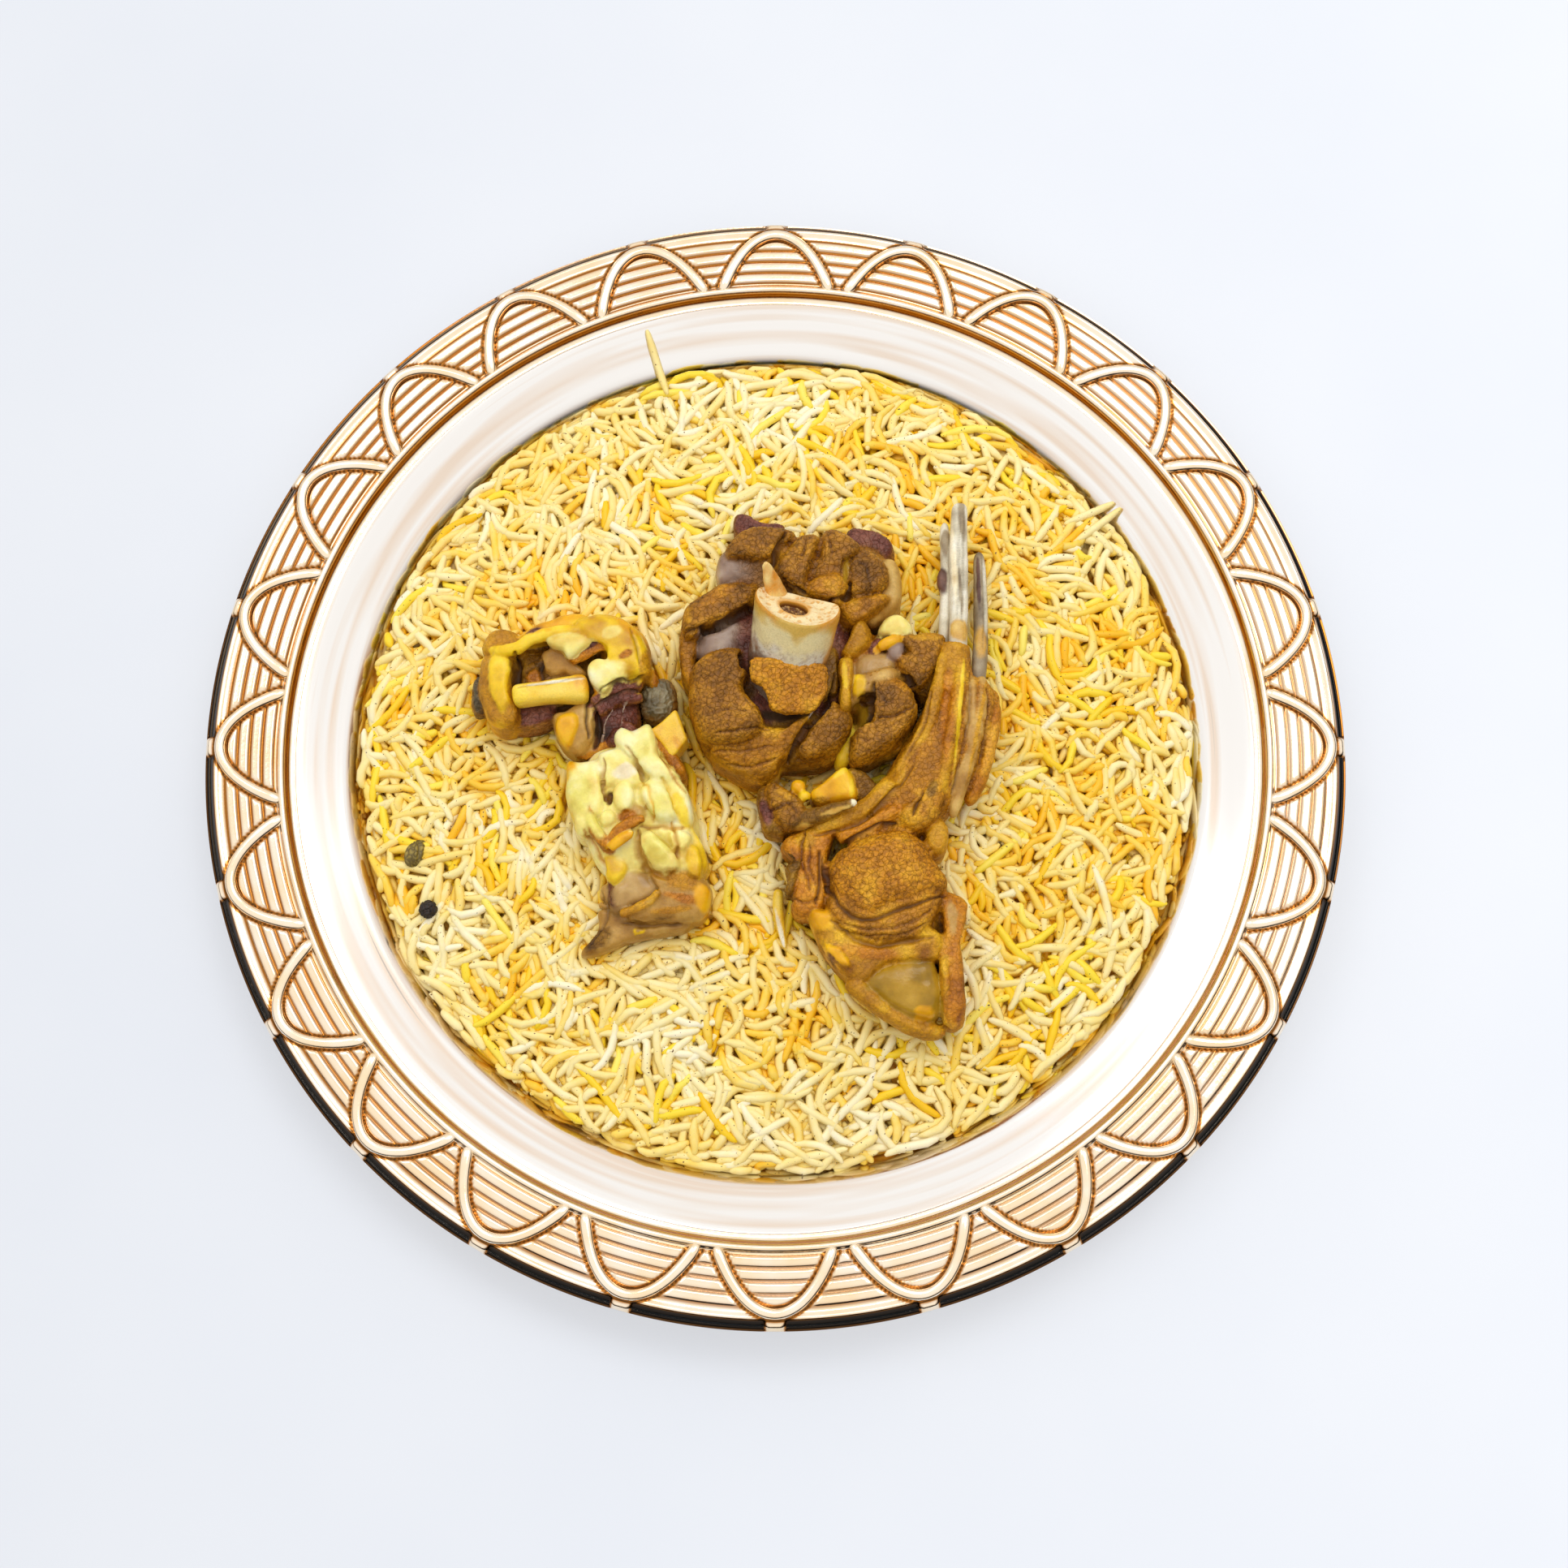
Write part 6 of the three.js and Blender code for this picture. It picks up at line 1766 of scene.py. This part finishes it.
# The other bones and hard bits, each a piece of its own.
BONES = (
    Cut("rib_main", "pale_bone", ("chop_rib_main",), (
        Bar("57.4,75.6,31,1.9,1.8 56.8,70,32,2.7,2.2 56,52,35,2.9,2.4 55.3,29,38,2.8,2.6 52.5,8,36,3,2.6 "
            "45,-12,34,3,2.4", T.RIB, square=3.0),
    ), (
        Patch((57.6, 70), (1.2, 9), T.ASH_BONE, 2),
        Patch((54.6, 54), (0.9, 15), T.IVORY, 2),
        Patch((55.5, 32), (3, 4), T.STAINED_BONE),
        Patch((56.4, 44), (0.6, 9), T.ASH_BONE, 2),
    ), (
        Seam("58.4,74 57.4,54 56.6,34", 0.5, 0.4),
        Seam("55.4,72 54.8,52 54.2,38", 0.4, -0.25),
        Seam("56.8,72 56,52 55.2,36", 0.4, 0.3),
    ), voxel=0.45, broad=0.35, finish=BONE, seed=81),
    Cut("rib_left", "pale_bone", ("chop_rib_left",), (
        Bar("52.4,70,29.5,1.6,1.6 52.4,50,33,1.8,2 51.4,33,34,1.8,2.2 49.4,18,33,1.6,2", T.RIB),
        Lump((51, 49.6, 33.6), (1.5, 3.2, 1.6), T.SCAB),
    ), (
        Patch((51.4, 49), (1.5, 4.5), T.SCAB, rise=0.3),
        Patch((52.4, 63), (1.4, 5), T.ASH_BONE),
    ), (), voxel=0.4, broad=0.25, finish=BONE, seed=83),
    Cut("rib_right", "grey_bone", ("chop_rib_right",), (
        Bar("63,61,28,1.9,2 63,42,31,2.2,2.3 62,21,33,2.3,2.4 59.5,4,32,2.2,2.2", T.ASH_BONE),
    ), (
        Patch((62.4, 50), (0.8, 9), T.SCAB),
        Patch((62.5, 30), (2.4, 5), T.STAINED_BONE),
        Patch((64.4, 44), (0.7, 14), T.RIB),
    ), (
        Seam("63.6,60 64,44 63.2,28", 0.4, 0.35),
    ), voxel=0.42, broad=0.3, finish=BONE, seed=85),
    Cut("vertebra", "dark_meat", ("chop_vertebra",), (
        Slice("-3,-16 -0.6,-14.8 5,-18.2 8.5,-21.6 10,-25 9.4,-29.4 3.6,-29.6 0.6,-27.4 -2.4,-21",
            40.4, T.ROAST, low=22),
        Slice("-5.4,-17.5 -3,-14.8 0,-22 2.5,-29 2,-31 -3,-29.6 -5,-23", 37.2, T.UMBER, low=22),
        Bar("7,-27,38,3,2.6 14,-25.4,41,2.3,2 20,-23.8,43.4,1.7,1.3 24.2,-22.4,45,1,0.8", T.UMBER),
        Lump((6.8, -16, 36), (2.1, 2.1, 2.1), T.AMBER),
        Lump((8.8, -19, 36.5), (1.8, 1.6, 1.8), T.GOLD_FAT),
    ), (
        Patch((23.8, -22.6), (1.4, 1.6), T.IVORY),
        Patch((18, -25), (4.6, 0.8), T.STAINED_BONE, 14),
        Patch((-3, -24), (2.4, 5), T.PLUM, 16),
        Patch((8, -29), (2.4, 1), T.STAINED_BONE, 8),
        Patch((2, -19.5), (3, 2), T.CRUST, -30),
    ), (
        Seam("-2,-24 2,-22.6 6,-21.4", 0.5, 0.8),
        Seam("-0.6,-19.5 3,-21 7,-24", 0.5, 0.7),
    ), voxel=0.5, broad=0.9, grain=(2.2, 2.2, 2.2), seed=87),
    Cut("gristle_knob", "stained_bone", ("chop_gristle",), (
        Slice("10.3,-18.2 14,-15 20.4,-10.2 22.4,-11.6 23.8,-15.5 24,-20.4 18.6,-21 13,-22",
            39.6, T.AMBER, (0.08, 0.06), low=24),
        Slice("22,-9.6 27.5,-11.4 30.6,-15 29.5,-18.4 25,-20.6 24,-15", 36, T.UMBER, low=24),
    ), (
        Patch((19.6, -12.4), (3.2, 1), T.GOLD_FAT, 40),
        Patch((14, -20.6), (3, 1.2), T.CRUST, 0),
        Patch((22.8, -17), (0.8, 3.4), T.GOLD_FAT),
    ), (), voxel=0.45, broad=0.5, seed=89),
    Cut("bone_splint", "stained_bone", ("bone_sliver",), (
        Bar("0.8,-45,24.5,1.5,1.6 1.1,-54,24.5,1.6,1.6 3,-63,23.5,0.7,0.8", T.YELLOW_BONE),
    ), (
        Patch((1.6, -58), (0.7, 6), T.IVORY, 14),
    ), (), voxel=0.35, broad=0.3, finish=BONE, seed=91),
    Cut("joint_rod", "stained_bone", ("joint_bone",), (
        Bar("-79,10.5,41,3.4,3.6 -68,12,41,3.6,3.8 -56,13.5,40,4.6,4", T.YELLOW_BONE, square=3.2),
    ), (
        Patch((-77, 10), (3, 3), T.GOLD_FAT),
        Patch((-57, 14.5), (3, 4), T.AMBER),
        Patch((-66, 14.5), (8, 0.6), T.IVORY, 8),
    ), (
        Seam("-77,12.5 -68,14 -58,16", 0.4, 0.3),
    ), voxel=0.42, broad=0.35, finish=BONE, seed=93),
    Cut("spongy_knob", "grey_bone", ("joint_spongy_bone",), (
        Lump((-35.6, 12, 28.5), (5, 6.5, 7), T.SPONGE),
    ), (), (), voxel=0.4, broad=0.5, crack_depth=-0.75, grain=(1.9, 1.9, 1.9), finish=BONE, seed=95),
    Cut("bone_wedge", "stained_bone", ("bone_chip",), (
        Slice("-38,0.8 -37,0 -34,-3.4 -31.4,-7 -30.4,-6.9 -26.6,-2 -26.4,-1 -28.6,4.8 -30,7.6 -31,6.8 -34,4.2",
            38.4, T.YELLOW_BONE, square=12.0, low=27),
    ), (
        Patch((-28.6, -4), (1.2, 4), T.AMBER, 30),
    ), (), voxel=0.4, broad=0.3, finish=BONE, seed=97),
)


# ---------------------------------------------------------------------------------------------- spices


@dataclass
class WholeSpices:
    """The peppercorn and the split pod that lie half sunk in the rice."""

    def build(self) -> None:
        """A wrinkled ball and a ribbed pod."""
        corn = outward(Lump((-105.3, -49.9, 18.4), (2.7, 2.7, 2.7), square=2).skin(60, 90))
        normals = point_normals(corn.points, corn.quads)
        wrinkle, _ = crack_noise(corn.points, (1.5, 1.5, 1.5), 401)
        corn.points += normals * (0.4 * ease(wrinkle, 0, 0.35) - 0.2)[:, None]
        finish = DriedSpice("dried_black_pepper_skin", "#120c09", "#3c2a20", 1.2)
        settle("peppercorn", corn, finish, ["rice"])
        pod = outward(Lump((-109.8, -32.5, 17.8), (4.5, 2.9, 2.5), turn=60, square=2).skin(60, 90))
        turn = np.arctan2(pod.points[:, 2] - 17.8, pod.points[:, 0] + 109.8)
        normals = point_normals(pod.points, pod.quads)
        pod.points += normals * (0.22 * np.cos(9 * turn) + 0.2 * soft_noise(pod.points, 2.0, 402, 2))[:, None]
        finish = DriedSpice("dried_cardamom_husk", "#5a4a1c", "#a08a3c", 1.6, 0.5)
        settle("spice_pod", pod, finish, ["rice"])


# ---------------------------------------------------------------------------------------------- rice


PALE_RICE = CookedRice(
    "steamed_basmati",
    ((0.0, "#fabc18"), (0.2, "#fad046"), (0.45, "#fadf86"), (0.75, "#fceaac"), (1.0, "#fdf1cc")),
)
SAFFRON_RICE = CookedRice(
    "saffron_stained_basmati",
    ((0.0, "#f8c414"), (0.3, "#fad020"), (0.7, "#fbdc38"), (1.0, "#fce668")),
)


@dataclass
class RiceMound:
    """A shallow mound of long grains: a packed bed with loose grains dropped on it one by one.

    Heights are kept on a map of small cells. Each grain tries some places and takes the one where the heap is
    lowest under its wanted height, then lies at the pitch that lets its middle sink lowest.
    """

    radius: float = 128.6
    edge_height: float = 12.2
    crown: float = 8.3
    bed_depth: float = 3.8
    cell: float = 0.7
    length: tuple[float, float] = (10.0, 26.0)
    half_width: tuple[float, float] = (1.3, 1.58)
    sides: int = 6
    flatness: float = 0.92
    most_grains: int = 8400
    saffron_share: float = 0.09
    sunk: float = 1.68
    bite: float = 1.02
    seed: int = 41
    roof: Sequence[Lump] = ()
    laps: tuple[tuple[float, float, float, float], ...] = (
        (-38.0, 128.0, 22.0, 108.0), (101.0, 73.0, 21.0, 38.0), (99.0, 77.5, 18.0, 25.0))

    def height(self, distance: np.ndarray) -> np.ndarray:
        """The mound's height: edge + crown * (1 - (distance / radius)^5), flat beyond the edge."""
        return self.edge_height + self.crown * (1 - np.minimum(distance / self.radius, 1) ** 5)

    def bed(self) -> Surface:
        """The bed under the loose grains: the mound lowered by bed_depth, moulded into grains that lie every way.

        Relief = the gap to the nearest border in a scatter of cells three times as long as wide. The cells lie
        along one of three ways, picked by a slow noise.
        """
        rows = np.concatenate([np.linspace(0.5, 126.2, 170), [126.8, 125.4, 123, 120.4, 116, 60, 1]])
        angle = np.linspace(0, 2 * math.pi, 560, endpoint=False)
        wide = np.repeat(rows[:, None], len(angle), 1)
        x, y = wide * np.cos(angle), wide * np.sin(angle)
        spots = np.stack([x.ravel(), y.ravel(), 0 * x.ravel()], -1)
        pick = soft_noise(spots, 14, 6, 2)
        relief = np.zeros(len(spots))
        for number, (low, high) in enumerate(((-9, -0.2), (-0.2, 0.2), (0.2, 9))):
            spin = about_z(math.radians(60 * number + 20))
            some = (pick > low) & (pick <= high)
            edge, own = crack_noise(spots[some] @ spin, (7.5, 2.6, 5), 7 + 10 * number)
            relief[some] = 1.1 * ease(edge, 0, 0.6) + 1.3 * own
        bump = relief.reshape(x.shape) - 1.1 + 0.6 * soft_noise(spots, 9, 6).reshape(x.shape)
        height = self.height(wide) - self.bed_depth + bump
        height[170:] = np.array([9.0, 7.0, 4.0, 2.3, 1.7, 1.7, 1.7])[:, None]
        return outward(capped_tube(np.stack([x, y, height], -1)))

    def grains(self) -> list[np.ndarray]:
        """Drops the grains.

        Returns:
            (n, rings, 3) middle lines, (n, rings) half widths, (n,) tones, (n,) kinds, 0 pale and 1 saffron,
            and (n, rings) heights of the heap over the lines.
        """
        draw = np.random.default_rng(self.seed)
        reach = 135.0
        count = int(2 * reach / self.cell)
        axis = (np.arange(count) + 0.5) * self.cell - reach
        x, y = np.meshgrid(axis, axis, indexing="ij")
        distance = np.hypot(x, y)
        flat = np.stack([x.ravel(), y.ravel(), 0 * x.ravel()], -1)
        wave = soft_noise(flat, 26, 3, 2).reshape(x.shape)
        heap = self.height(distance) - self.bed_depth
        wanted = self.height(distance) + 1.0 + 1.1 * wave + 1.3 * ease(distance, 118, 128)
        wall = 1.9 + 13.0 * np.clip((distance - 120.5) / 10.3, 0, 1) ** 1.2
        heap = np.where(distance > 119, np.maximum(wall, np.where(distance < 126.5, heap, 0)), heap)
        rim = 128.9 + 1.0 * soft_noise(flat, 32, 9, 2).reshape(x.shape)
        wanted = np.where(distance > rim, -99, wanted)
        roof = np.full(x.shape, FAR)
        for lump in self.roof:
            roof = np.minimum(roof, lump.underside(x, y))
        roof -= 0.25
        lines, widths, tones, kinds = [], [], [], []
        steps = np.array([-0.97, -0.85, -0.5, 0.0, 0.5, 0.85, 0.97])
        taper = np.sqrt(1 - np.abs(steps) ** 4)
        slopes = np.linspace(-0.45, 0.45, 11)[:, None]
        fine = np.linspace(-1, 1, 25)
        heading_field = 4 * math.pi * soft_noise(flat, 24, 17).reshape(x.shape)
        amber = soft_noise(flat, 30, 23, 2).reshape(x.shape)
        pale = soft_noise(flat, 38, 29, 2).reshape(x.shape) + 0.3 * ease(-x - y, 20, 120)
        tries = 16

        def cell_of(values: np.ndarray) -> np.ndarray:
            """Cell numbers of places along either axis."""
            return np.clip(((values + reach) / self.cell).astype(int), 0, count - 1)

        for _ in range(self.most_grains * 2):
            if len(lines) >= self.most_grains:
                break
            angles, spread = draw.uniform(0, 2 * math.pi, tries), 129.5 * np.sqrt(draw.uniform(0, 1, tries))
            px, py = spread * np.cos(angles), spread * np.sin(angles)
            ix, iy = cell_of(px), cell_of(py)
            lack = np.minimum(wanted[ix, iy], roof[ix, iy]) - heap[ix, iy]
            best = int(np.argmax(lack))
            if lack[best] < -0.2:
                continue
            heading = heading_field[ix[best], iy[best]] + draw.normal(0, 0.9)
            long = np.clip(draw.normal(16.5, 3.8), *self.length) * (0.5 if draw.random() < 0.12 else 1)
            half = draw.uniform(*self.half_width)
            bend, twist = draw.normal(0, 0.16) * long, draw.normal(0, 0.1) * long
            forward = np.array([math.cos(heading), math.sin(heading)])
            aside = np.array([-forward[1], forward[0]])
            start = np.array([px[best], py[best]])

            def plan(t: np.ndarray) -> np.ndarray:
                """Places along the grain from its one end at -1 to the other at 1."""
                sideways = bend * (0.5 - t * t) + twist * (t**3 - 0.6 * t)
                return start + np.outer(t * long / 2, forward) + np.outer(sideways, aside)

            spots = plan(fine)
            if np.hypot(spots[:, 0], spots[:, 1]).max() > 130.0:
                continue
            jx, jy = cell_of(spots[:, 0]), cell_of(spots[:, 1])
            rest = (heap[jx, jy] + half - self.sunk - slopes * fine * long / 2).max(1)
            pick = int(np.argmin(rest + 5 * slopes[:, 0] ** 2 + draw.uniform(0, 0.3, len(rest))))
            slope, rise = float(slopes[pick, 0]), rest[pick]
            sag = -0.5 * draw.random()
            line_z = rise + slope * fine * long / 2 + sag * (fine**2 - 0.5)
            if (line_z + half > roof[jx, jy]).any() or (line_z + half > wanted[jx, jy] + 2.4).any():
                continue
            for offset in np.linspace(-0.85, 0.85, 5):
                side = spots + aside * offset * half
                top = line_z + half * math.sqrt(1 - offset**2) - self.bite
                np.maximum.at(heap, (cell_of(side[:, 0]), cell_of(side[:, 1])), top)
            height = rise + slope * steps * long / 2 + sag * (steps**2 - 0.5)
            lines.append(np.column_stack([plan(steps), height]))
            widths.append(half * taper * (1 + 0.07 * np.sin(steps * 5 + draw.uniform(0, 6))))
            richer = 1 + 2.4 * amber[ix[best], iy[best]] + 0.6 * (px[best] > 40)
            golden = draw.random() < self.saffron_share * richer
            kinds.append(int(golden))
            tone = 0.5 + 0.28 * pale[ix[best], iy[best]] + draw.normal(0, 0.17)
            tones.append(draw.uniform(0, 1) if golden else np.clip(tone, 0, 1))
        for px, py, long, way in self.laps:
            heading = math.radians(way)
            along = steps * long / 2
            radial = np.hypot(px + along * math.cos(heading), py + along * math.sin(heading))
            lift = 1.35 + np.interp(radial, [118, 128, 133, 147], [16.5, 15.2, 15.3, 21.2])
            lines.append(np.stack([px + along * math.cos(heading), py + along * math.sin(heading), lift], -1))
            widths.append(1.3 * taper)
            tones.append(0.55)
            kinds.append(0)
        LOG.info("%d grains of rice lie on the bed", len(lines))
        canopy = heap
        for across in range(-2, 3):
            for along in range(-2, 3):
                canopy = np.maximum(canopy, np.roll(heap, (across, along), (0, 1)))
        rows = np.array(lines)
        over = canopy[cell_of(rows[..., 0]), cell_of(rows[..., 1])] + self.bite
        return [rows, np.array(widths), np.array(tones), np.array(kinds), over]

    def grain_skins(
        self, lines: np.ndarray, widths: np.ndarray, tones: np.ndarray, over_them: np.ndarray
    ) -> Surface:
        """Skins of many grains at once: rings round each middle line, a point at each tip.

        Args:
            lines: (n, rings, 3) middle lines.
            widths: (n, rings) half widths.
            tones: (n,) tones.
            over_them: (n, rings) heights of the heap over the lines.

        Returns:
            One surface, painted with the tone, lowered as painted shade where a grain lies under the top grains.
        """
        along = np.gradient(lines, axis=1)
        along /= np.linalg.norm(along, axis=2, keepdims=True)
        sideways = np.cross(along, [0.0, 0.0, 1.0])
        sideways /= np.linalg.norm(sideways, axis=2, keepdims=True)
        over = np.cross(sideways, along)
        angle = np.linspace(0, 2 * math.pi, self.sides, endpoint=False)
        radial = np.cos(angle)[:, None] * sideways[:, :, None]
        radial = radial + self.flatness * np.sin(angle)[:, None] * over[:, :, None]
        rings = lines[:, :, None] + radial * widths[:, :, None, None]
        tips = np.stack([lines[:, 0] - along[:, 0] * widths[:, :1] * 0.35,
                         lines[:, -1] + along[:, -1] * widths[:, -1:] * 0.35], 1)
        points = np.concatenate([rings.reshape(len(lines), -1, 3), tips], 1)
        tops = np.concatenate([np.repeat(over_them, self.sides, 1), over_them[:, :1], over_them[:, -1:]], 1)
        # painted shade: parts of a grain under the heap's top get a lower, deeper tone
        under = np.clip(tops - points[..., 2] - 0.9, 0, 3).ravel()
        one = capped_tube(rings[0])
        each = points.shape[1]
        shift = np.arange(len(lines))[:, None, None] * each
        surface = Surface(
            points.reshape(-1, 3),
            (one.quads[None] + shift).reshape(-1, 4),
            (one.triangles[None] + shift).reshape(-1, 3),
            {"tone": np.repeat(tones, each) + 0.25 * soft_noise(points.reshape(-1, 3), 7, 47) - 0.09 * under},
        )
        return outward(surface)

    def build(self) -> None:
        """Makes the bed and the grains in pieces by kind."""
        settle("rice_bed", self.bed(), RiceBed(), ["rice"])
        lines, widths, tones, kinds, over = self.grains()
        pale = PALE_RICE.build()
        order = np.flatnonzero(kinds == 0)
        for number, some in enumerate(np.array_split(order, 4)):
            skins = self.grain_skins(lines[some], widths[some], tones[some], over[some])
            settle(f"pale_grains_{number + 1}", skins, pale, ["rice"])
        some = np.flatnonzero(kinds == 1)
        skins = self.grain_skins(lines[some], widths[some], tones[some], over[some])
        settle("saffron_grains", skins, SAFFRON_RICE, ["rice"])


# ---------------------------------------------------------------------------------------------- stage


@dataclass
class Stage:
    """The white table, the soft studio lights and the camera."""

    table_half: float = 6000.0
    camera_at: tuple[float, float, float] = (2.6, -189.4, 751.7)
    camera_tilt: float = 13.69
    lens: float = 56.44
    sky: float = 1.07
    backdrop: str = "#f0f2f6"
    walls: Stops = ((0.0, "#141a22"), (0.1, "#20262e"), (0.2, "#686058"), (0.34, "#c9bdb4"),
                    (0.5, "#f4f2f0"), (1.0, "#ffffff"))

    def table(self) -> None:
        """A flat table top at the tray's foot."""
        half = self.table_half
        points = np.array([[-half, -half, 0], [half, -half, 0], [half, half, 0], [-half, half, 0]], float)
        thing = make_object("table_top", Surface(points - [0, 0, 0.05], np.array([[0, 1, 2, 3]])))
        thing.data.materials.append(OpalTable().build())

    def camera(self) -> None:
        """The camera, looking down from the person's side."""
        data = bpy.data.cameras.new("camera")
        data.lens = self.lens
        data.sensor_width = 36
        data.clip_end = 30
        thing = bpy.data.objects.new("camera", data)
        thing.location = [v * MM for v in self.camera_at]
        thing.rotation_euler = (math.radians(self.camera_tilt), 0, 0)
        bpy.context.scene.collection.objects.link(thing)
        bpy.context.scene.camera = thing

    def light(self, name: str, at: Sequence[float], aim: Sequence[float], size: Sequence[float], power: float,
              colour: str) -> None:
        """One rectangular soft light.

        Args:
            name: its name.
            at: its place in metres.
            aim: the point that it faces, in metres.
            size: its width and height in metres.
            power: watts.
            colour: hex colour.
        """
        data = bpy.data.lights.new(name, "AREA")
        data.shape = "RECTANGLE"
        data.size, data.size_y = size
        data.energy = power
        data.color = linear(colour)
        thing = bpy.data.objects.new(name, data)
        way = np.array(aim) - np.array(at)
        thing.location = at
        thing.rotation_euler = Vector(way).to_track_quat("-Z", "Y").to_euler()
        bpy.context.scene.collection.objects.link(thing)

    def lights(self) -> None:
        """Soft boxes up to the right and, weaker, to the left, so steep that only level metal mirrors them."""
        self.light("soft_box_right", (0.5, 0.8, 2.1), (0, 0, 0), (1.0, 1.0), 11.2, "#fffdf8")
        self.light("soft_box_left", (-0.75, 1.0, 1.9), (0, 0, 0), (0.7, 0.8), 4.2, "#f2f6ff")

    def world(self) -> None:
        """The studio round the table: a bright ceiling over walls that grow dark towards the floor.

        The light from a direction follows its height + 0.22 * its part to the back - 0.1 * its part to the
        right, so the dark reaches highest in front and on the right. Seen directly, the studio is pale.
        """
        mix = Recipe(bpy.data.worlds.new("studio"))
        way = mix.add("TexCoord", "Generated")
        level = mix.add("VectorMath", "Value", {0: way, 1: (-0.1, 0.22, 1.0)}, operation="DOT_PRODUCT")
        seen = mix.add("LightPath", "Is Camera Ray")
        shown = mix.blend(seen, mix.ramp(level, self.walls), self.backdrop)
        glow = mix.add("Background", "Background", {"Color": shown, "Strength": self.sky})
        mix.add("OutputWorld", None, {"Surface": glow})
        bpy.context.scene.world = mix.made

    def build(self) -> None:
        """Sets the stage and how colours are shown."""
        self.camera()
        self.table()
        self.world()
        self.lights()
        bpy.context.scene.view_settings.view_transform = "Standard"


def main() -> None:
    """Builds the stage, the tray, the rice and the meat."""
    logging.basicConfig(level=logging.INFO, format="%(message)s")
    Stage().build()
    Tray().build()
    cuts = (SHANK, SIDE_ROAST, CHOP, JOINT, SLAB)
    for cut in cuts + BONES:
        cut.build()
    MarrowBone().build()
    WholeSpices().build()
    RiceMound(roof=[lump for cut in cuts for lump in cut.lumps]).build()


if __name__ == "__main__":
    main()
